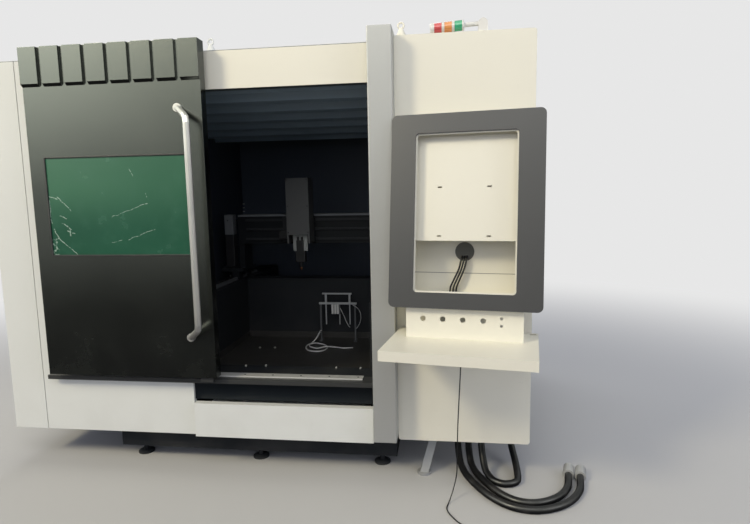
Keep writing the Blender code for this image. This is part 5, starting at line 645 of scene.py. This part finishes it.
def build_panel_cord():
    """The thin cord from the tray's underside to its plug on the floor. Shifts along the route
    are in cord diameters, and heights are shares of the drop."""
    start = OPERATOR @ Vector(CORD_EXIT)
    top = TRAY_TOP - CORD_BOSS_LENGTH - OVERLAP - GAP
    lie = PANEL_CORD / 2 + GAP
    points = [(start.x, start.y, top), (start.x, start.y, top - 6 * PANEL_CORD)]
    for across, forward, height in (
            (-0.8, 1.2, 0.79), (-2.8, 2.4, 0.49), (-3.6, 3.2, 0.27), (-4, 4, 0.153),
            (-7.2, 8, 0.062), (-11.2, 15, 0), (-12.4, 24, 0), (-8, 34, 0), (-1.4, 42.8, 0),
            (8, 49, 0), (19, 52.4, 0)):
        points.append((start.x + across * PANEL_CORD, start.y - forward * PANEL_CORD,
                       max(height * top, lie)))
    cord("panel_cord_skin", smooth_route(points, 0.009, lie), PANEL_CORD, CABLE_SKIN,
         "operator_unit", "panel_cord", "black_rubber", far_end="plug", stiffness="limp",
         lay="hanging", with_pieces=["panel_cord_plug"])


def build_monitor_cables():
    """Three cables that hang from the grommet to the slot in the housing's lower edge."""
    unit = MONITOR_CABLE
    face = HOUSING_BACK - SHEET - GROMMET_LIP - unit / 4
    floor = HOUSING_BOTTOM + SHEET + GAP
    slot_x, slot_y = CABLE_SLOT
    high = GROMMET_HEIGHT
    for number in (-1, 0, 1):
        start, end = GROMMET_X + number * CABLE_SPACING, slot_x + number * 1.6 * unit
        points = [(start, face, high - 2.5 * unit), (start, face - 1.5 * unit, high - 2.9 * unit),
                  (start - 0.25 * unit, face - 2.75 * unit, high - 4.75 * unit),
                  (start - 1.25 * unit, face - 3 * unit, high - 8.75 * unit),
                  ((start + end - unit) / 2, slot_y - 1.5 * unit, high - 14 * unit),
                  (end + 0.4 * unit, slot_y - 0.5 * unit, high - 18.75 * unit),
                  (end, slot_y, floor)]
        route = smooth_route([OPERATOR @ Vector(p) for p in points], 0.006)
        name = f"monitor_cable_{number + 2}"
        cord(name + "_sheath", route, unit, CABLE_SKIN, "operator_unit", name,
             "black_rubber", far_end="object", stiffness="limp", lay="hanging")


def build_air_tube():
    """The coiled tube on the chamber's floor. Shifts along the route are in tube diameters."""
    chip_floor_top = 0.403
    lie = chip_floor_top + AIR_TUBE / 2 + GAP
    x, y = 0.110, 0.925
    points = [(x, y - 4 * GAP - AIR_TUBE / 8, lie + 7.5 * AIR_TUBE)]
    for across, forward, rise in (
            (-0.5, 3.75, 7), (-2.25, 8.75, 3.25), (-5.5, 13, 0), (-7.25, 16.6, 0),
            (-6.5, 24.4, 0), (-2.25, 31.1, 0), (5, 32.6, 0), (9.25, 27.4, 0), (8.75, 19.4, 0),
            (3.75, 14.1, 0.25), (-2, 14.6, 1.1), (-5, 18.6, 1), (-3.25, 23.4, 0.75),
            (2.25, 25.4, 0.25), (8.75, 23.6, 1.1), (15.25, 22.1, 0.4), (22.5, 22.9, 0),
            (28.75, 21.1, 0)):
        points.append((x + across * AIR_TUBE, y - forward * AIR_TUBE, lie + rise * AIR_TUBE))
    cord("air_tube_skin", smooth_route([machine(*p) for p in points], 0.008, lie), AIR_TUBE,
         PALE_TUBE, "machine", "air_tube", "pale_tube", far_end="bare", stiffness="medium",
         lay="loose")


def build_rack_wires():
    """Two thin wires that leave the rack's bar and go back into its right post and a rod."""
    for number, points in enumerate((
            ((0.318, 0.922, 0.634), (0.326, 0.914, 0.631), (0.350, 0.906, 0.616),
             (0.366, 0.904, 0.590), (0.370, 0.904, 0.556), (0.362, 0.906, 0.524),
             (0.348, 0.912, 0.498), (0.336, 0.922, 0.482)),
            ((0.236, 0.922, 0.612), (0.246, 0.912, 0.598), (0.262, 0.908, 0.566),
             (0.276, 0.908, 0.530), (0.288, 0.912, 0.504), (0.296, 0.923, 0.490)))):
        route = smooth_route([machine(*p) for p in points], 0.005)
        cord(f"rack_wire_{number + 1}", route, RACK_WIRE, PALE_TUBE, "machine", None, "pale_tube",
             far_end="object", stiffness="medium", lay="loose")


def pick(piece, test):
    """Selects the faces of the piece in edit mode that pass a test, and no others."""
    work = bmesh.from_edit_mesh(piece.data)
    for face in work.faces:
        face.select_set(test(face))
    bmesh.update_edit_mesh(piece.data)


def start_block(low, high):
    """A block between two corners in machine coordinates, in edit mode."""
    bpy.ops.object.select_all(action="DESELECT")
    low, high = machine(*low), machine(*high)
    bpy.ops.mesh.primitive_cube_add(size=1.0, location=(low + high) / 2, scale=high - low)
    piece = bpy.context.object
    bpy.ops.object.transform_apply(location=True, rotation=True, scale=True)
    bpy.ops.object.mode_set(mode="EDIT")
    bpy.ops.mesh.select_mode(type="FACE")
    return piece


def start_drum(radius, height, sides):
    """A drum that stands on the origin, in edit mode."""
    bpy.ops.object.select_all(action="DESELECT")
    bpy.ops.mesh.primitive_cylinder_add(vertices=sides, radius=radius, depth=height,
                                        location=(0.0, 0.0, height / 2))
    piece = bpy.context.object
    bpy.ops.object.transform_apply(location=True, rotation=True, scale=True)
    bpy.ops.object.mode_set(mode="EDIT")
    bpy.ops.mesh.select_mode(type="FACE")
    return piece


def settle(piece, name, body, look):
    """Leaves edit mode and finishes a piece: place in its mesh, smooth, dressed and riding."""
    sharp = math.radians(35.0)
    if bpy.context.mode != "OBJECT":
        bpy.ops.object.mode_set(mode="OBJECT")
    bpy.ops.object.select_all(action="DESELECT")
    piece.select_set(True)
    bpy.context.view_layer.objects.active = piece
    bpy.ops.object.transform_apply(location=True, rotation=True, scale=True)
    bpy.ops.object.shade_smooth_by_angle(angle=sharp)
    piece.name = piece.data.name = name
    piece.data.materials.clear()
    piece.data.materials.append(look.material)
    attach(piece, body)


def set_out(model, name, places, facing, body, look):
    """Copies of one model at the given places, joined into one piece; the model is used up."""
    if bpy.context.mode != "OBJECT":
        bpy.ops.object.mode_set(mode="OBJECT")
    turn = Vector((0.0, 0.0, 1.0)).rotation_difference(Vector(facing)).to_matrix().to_4x4()
    bpy.ops.object.select_all(action="DESELECT")
    for place in places:
        copy = model.copy()
        copy.data = model.data.copy()
        bpy.context.scene.collection.objects.link(copy)
        copy.matrix_world = Matrix.Translation(place) @ turn
        copy.select_set(True)
    bpy.context.view_layer.objects.active = copy
    bpy.ops.object.join()
    bpy.data.objects.remove(model)
    settle(copy, name, body, look)


def sink(piece, thickness, depth):
    """Insets the top face of a drum and pushes its middle down."""
    top = max(vertex.co.z for vertex in bmesh.from_edit_mesh(piece.data).verts)
    pick(piece, lambda face: face.normal.z > 0.9 and face.calc_center_median().z > top - 1e-5)
    bpy.ops.mesh.inset(thickness=thickness)
    bpy.ops.mesh.extrude_region_move(TRANSFORM_OT_translate={"value": (0.0, 0.0, -depth)})


def cap_screw(radius, height):
    """A cap screw head: bevelled rim and a sunk socket."""
    piece = start_drum(radius, height, 14)
    pick(piece, lambda face: face.normal.z > 0.9)
    bpy.ops.mesh.bevel(offset=radius * 0.14, segments=2, affect="EDGES")
    sink(piece, radius * 0.42, height * 0.55)
    return piece


def pan_screw(radius, height):
    """A domed screw head with a sunk middle."""
    piece = start_drum(radius, height * 0.35, 14)
    for share in (0.80, 0.60, 0.70):
        pick(piece, lambda face: face.normal.z > 0.9)
        bpy.ops.mesh.extrude_region_move(
            TRANSFORM_OT_translate={"value": (0.0, 0.0, height * 0.22)})
        bpy.ops.transform.resize(value=(share, share, 1.0))
    sink(piece, radius * 0.08, height * 0.3)
    return piece


def flush_screw(radius, height):
    """A countersunk screw head: a shallow dish with a lower middle."""
    piece = start_drum(radius, height, 16)
    sink(piece, 0.0010, 0.0004)
    sink(piece, 0.0004, 0.0002)
    return piece


def hex_nut(radius, height, bore):
    """A hexagon nut round a stem: chamfered corners and an open bore."""
    piece = start_drum(radius, height, 6)
    pick(piece, lambda face: abs(face.normal.z) > 0.9)
    bpy.ops.mesh.bevel(offset=radius * 0.06, segments=1, affect="EDGES")
    pick(piece, lambda face: abs(face.normal.z) > 0.9)
    bpy.ops.mesh.inset(thickness=(radius - bore) * 0.72)
    bpy.ops.mesh.bridge_edge_loops()
    return piece


def build_door_details():
    """Rubber gasket round the window."""
    width, rounding = 0.0062, 0.0012
    gasket = start_block((-0.9122, -0.0862, 1.0618), (-0.2198, -0.0813, 1.5122))
    pick(gasket, lambda face: abs(face.normal.y) > 0.9)
    bpy.ops.mesh.inset(thickness=width)
    bpy.ops.mesh.bridge_edge_loops()
    bpy.ops.mesh.select_all(action="SELECT")
    bpy.ops.mesh.bevel(offset=rounding, segments=2, affect="EDGES")
    settle(gasket, "window_gasket", "door", RUBBER)


def build_sill_details():
    """Countersunk screws in the door strip, and cap screws on the bed and along the Y rails."""
    places = [machine(-0.190 + 0.136 * n, 0.0225, 0.4813) for n in range(6)]
    set_out(flush_screw(0.0042, 0.0008), "strip_screws", places, UP, "machine", BLACK_BOLT)
    places = [machine(x, y, z) for x, y, z in (
        (-0.127, 0.224, 0.455), (-0.023, 0.231, 0.455), (0.346, 0.228, 0.455),
        (0.470, 0.228, 0.455), (-0.229, 0.725, 0.4032), (-0.136, 0.731, 0.4032))]
    set_out(cap_screw(0.0070, 0.0070), "bed_cap_screws", places, UP, "machine", BOLT)
    places = [machine(x, 0.300 + RAIL_PITCH * n, 0.808) for x in Y_RAILS for n in range(16)]
    set_out(cap_screw(0.0048, 0.0012), "rail_screws", places, UP, "machine", BLACK_BOLT)


def build_gantry_details():
    """Cap screws along the X rails, none behind the carriage, and the screws of the Z cover."""
    behind_carriage = (-0.125, 0.095)
    row = [-0.490 + RAIL_PITCH * n for n in range(19)]
    places = [machine(x, 0.9590, z) for z in X_RAILS for x in row
              if not behind_carriage[0] < x < behind_carriage[1]]
    set_out(cap_screw(0.0040, 0.0012), "beam_rail_screws", places, FRONT, "gantry",
            BLACK_BOLT)
    places = [machine(x, 0.8017, z) for x in (-0.046, 0.075) for z in (1.100, 1.258, 1.416)]
    set_out(pan_screw(0.0042, 0.0022), "z_cover_screws", places, FRONT, "carriage",
            BLACK_BOLT)


def build_sheet_screws():
    """Screws of the rear lids and the roof sheets, and the nuts of the hose glands."""
    half_lid, lid_face = 0.2235, 1.8045
    places = [machine(middle + side * half_lid, lid_face, z) for middle in REAR_LIDS
              for z in (0.545, 0.950, 1.355) for side in (-1, 1)]
    set_out(pan_screw(0.0065, 0.0035), "rear_lid_screws", places, BACK, "machine", BOLT)
    body_roof, console_roof = 1.960, 1.980
    places = [machine(x, y, body_roof) for y in (0.155, 0.960, 1.770)
              for x in (-1.235, -0.900, -0.580, -0.260, 0.060, 0.380, 0.645)]
    places += [machine(x, y, console_roof) for y in (0.180, 0.960, 1.745)
               for x in (0.700, 1.240)]
    set_out(pan_screw(0.0065, 0.0035), "roof_screws", places, UP, "machine", BOLT)
    x, y = GLANDS["long"]
    glands = ((x - HOSE_SPREAD, y), (x + HOSE_SPREAD, y), GLANDS["out"], GLANDS["back"])
    places = [machine(*gland, GLAND_TOP + 0.010) for gland in glands]
    set_out(hex_nut(0.0310, 0.011, 0.0245), "gland_nuts", places, UP, "machine",
            RUBBER)


def build_louvre_hoods():
    """Pressed hoods over the slots of the two rear lids: blocks that taper away from the sheet,
    with rounded edges and no back."""
    lowest, pitch, rounding = 1.110, 0.030, 0.0022
    hood = start_block((-0.170, 1.8040, -0.004), (0.170, 1.8130, 0.012))
    pick(hood, lambda face: face.normal.y > 0.9)
    bpy.ops.transform.resize(value=(0.975, 1.0, 0.55))
    bpy.ops.transform.translate(value=(0.0, 0.0, -0.0035))
    pick(hood, lambda face: face.normal.y > 0.9 or face.normal.z > 0.5)
    bpy.ops.mesh.bevel(offset=rounding, segments=3, affect="EDGES")
    pick(hood, lambda face: face.normal.y < -0.9)
    bpy.ops.mesh.delete(type="FACE")
    places = [Vector((middle, 0.0, lowest + pitch * row)) for middle in REAR_LIDS
              for row in range(6)]
    set_out(hood, "louvre_hoods", places, UP, "machine", WHITE)


def build_duct_flap():
    """The closed flap of the exhaust collar: a dished disc with a rolled rim and a hub."""
    radius, thickness, rim = 0.0712, 0.0020, 0.0005
    flap = start_drum(radius, thickness, 48)
    pick(flap, lambda face: abs(face.normal.z) < 0.1)
    bpy.ops.mesh.bevel(offset=rim, segments=2, affect="EDGES")
    for inset, rise in ((0.0060, -0.0010), (0.0040, 0.0020), (0.0400, 0.0), (0.0060, 0.0040)):
        pick(flap, lambda face: face.normal.z > 0.9 and face.calc_center_median().length < 0.006)
        bpy.ops.mesh.inset(thickness=inset)
        bpy.ops.mesh.extrude_region_move(TRANSFORM_OT_translate={"value": (0.0, 0.0, rise)})
    set_out(flap, "duct_flap", [machine(0.065, 1.8150, 1.060)], BACK, "machine", ZINC)


def build_floor():
    """A plain pale floor that fades into the backdrop. Rays that leave the machine meet it a
    little darker than the camera does, and its far part lights the reflections."""
    seen, lit, mirrored = (0.56, 0.56, 0.555), (0.36, 0.355, 0.35), (0.05, 0.05, 0.055)
    black, far_glow = (0.0, 0.0, 0.0), (0.60, 0.61, 0.58)
    bpy.ops.object.select_all(action="DESELECT")
    bpy.ops.mesh.primitive_plane_add(size=80.0, location=(0.0, 0.0, 0.0))
    floor = bpy.context.object
    floor.name = "studio_floor"
    look = Look("studio floor", (0.60, 0.60, 0.595), 0.75)
    x, y, z = look.place()
    camera_ray = look.node("ShaderNodeLightPath", {}, {}, "Is Camera Ray")
    glossy_ray = look.node("ShaderNodeLightPath", {}, {}, "Is Glossy Ray")
    reach = (x * x + y * y).root()
    fade = reach.step(2.4, 6.5)
    near = look.mix(camera_ray, look.mix(glossy_ray, lit, mirrored), seen)
    look.put("Base Color", look.mix(fade, near, black))
    glow = look.mix(reach.step(5.0, 18.0) * glossy_ray, black, far_glow)
    look.put("Emission Color", look.mix(fade * camera_ray, glow, PALE))
    look.put("Emission Strength", 1.0)
    look.put("Specular IOR Level", 0.0)
    floor.data.materials.append(look.material)


def build_world():
    """A pale backdrop for the camera, soft light from low down for the matt paint, and a bright
    upper part, dimmer in the east and the north, for what the glossy paint mirrors."""
    world = bpy.data.worlds.new("studio")
    bpy.context.scene.world = world
    world.use_nodes = True
    sky = Shader(world.node_tree)
    east, north, height = sky.split(sky.node("ShaderNodeTexCoord", {}, {}, "Generated"))
    camera_ray = sky.node("ShaderNodeLightPath", {}, {}, "Is Camera Ray")
    glossy_ray = sky.node("ShaderNodeLightPath", {}, {}, "Is Glossy Ray")
    bright = (height.step(-0.04, 0.34) * (1.0 - east.step(-0.70, -0.36) * 0.70)
              * (1.0 - north.step(-0.20, 0.50) * 0.75))
    mirrored = sky.mix(bright, (0.05, 0.06, 0.08), (4.40, 4.50, 4.05))
    ambient = sky.mix(height.step(0.15, 0.75), (0.82, 0.86, 1.00), (0.20, 0.21, 0.25))
    colour = sky.mix(camera_ray, sky.mix(glossy_ray, ambient, mirrored), PALE)
    sky.feed(sky.tree.nodes["Background"].inputs["Color"], colour)


# Area lights: name, place, aim, size, power in watts, colour.
LIGHTS = (
    ("key", (-4.84, -5.65, 6.16), (-0.1, 0.0, 1.0), (1.8, 1.8), 400.0, (1.0, 0.89, 0.62)),
    ("front", (0.9, -3.4, 4.4), (0.3, 0.0, 1.5), (3.0, 2.0), 55.0, (1.0, 0.98, 0.94)),
    ("side", (5.2, -2.2, 2.8), (0.8, 0.4, 1.0), (2.6, 2.6), 60.0, (0.96, 0.98, 1.0)),
    ("rear", (-1.0, 4.9, 5.6), (0.0, 1.6, 1.0), (4.0, 3.0), 120.0, (1.0, 1.0, 1.0)))


def build_lights():
    """The four area lights, each turned to its aim."""
    for name, place, aim, size, power, tint in LIGHTS:
        lamp = bpy.data.lights.new(name, "AREA")
        lamp.shape = "RECTANGLE"
        lamp.size, lamp.size_y = size
        lamp.energy = power
        lamp.color = tint
        light = bpy.data.objects.new(name, lamp)
        bpy.context.scene.collection.objects.link(light)
        start, goal = machine(*place), machine(*aim)
        light.matrix_world = (Matrix.Translation(start)
                              @ (goal - start).to_track_quat("-Z", "Y").to_matrix().to_4x4())


build_camera()
build_hoses()
build_panel_cord()
build_monitor_cables()
build_air_tube()
build_rack_wires()
build_door_details()
build_sill_details()
build_gantry_details()
build_sheet_screws()
build_louvre_hoods()
build_duct_flap()
bpy.context.scene.view_settings.view_transform = "Standard"
build_floor()
build_world()
build_lights()
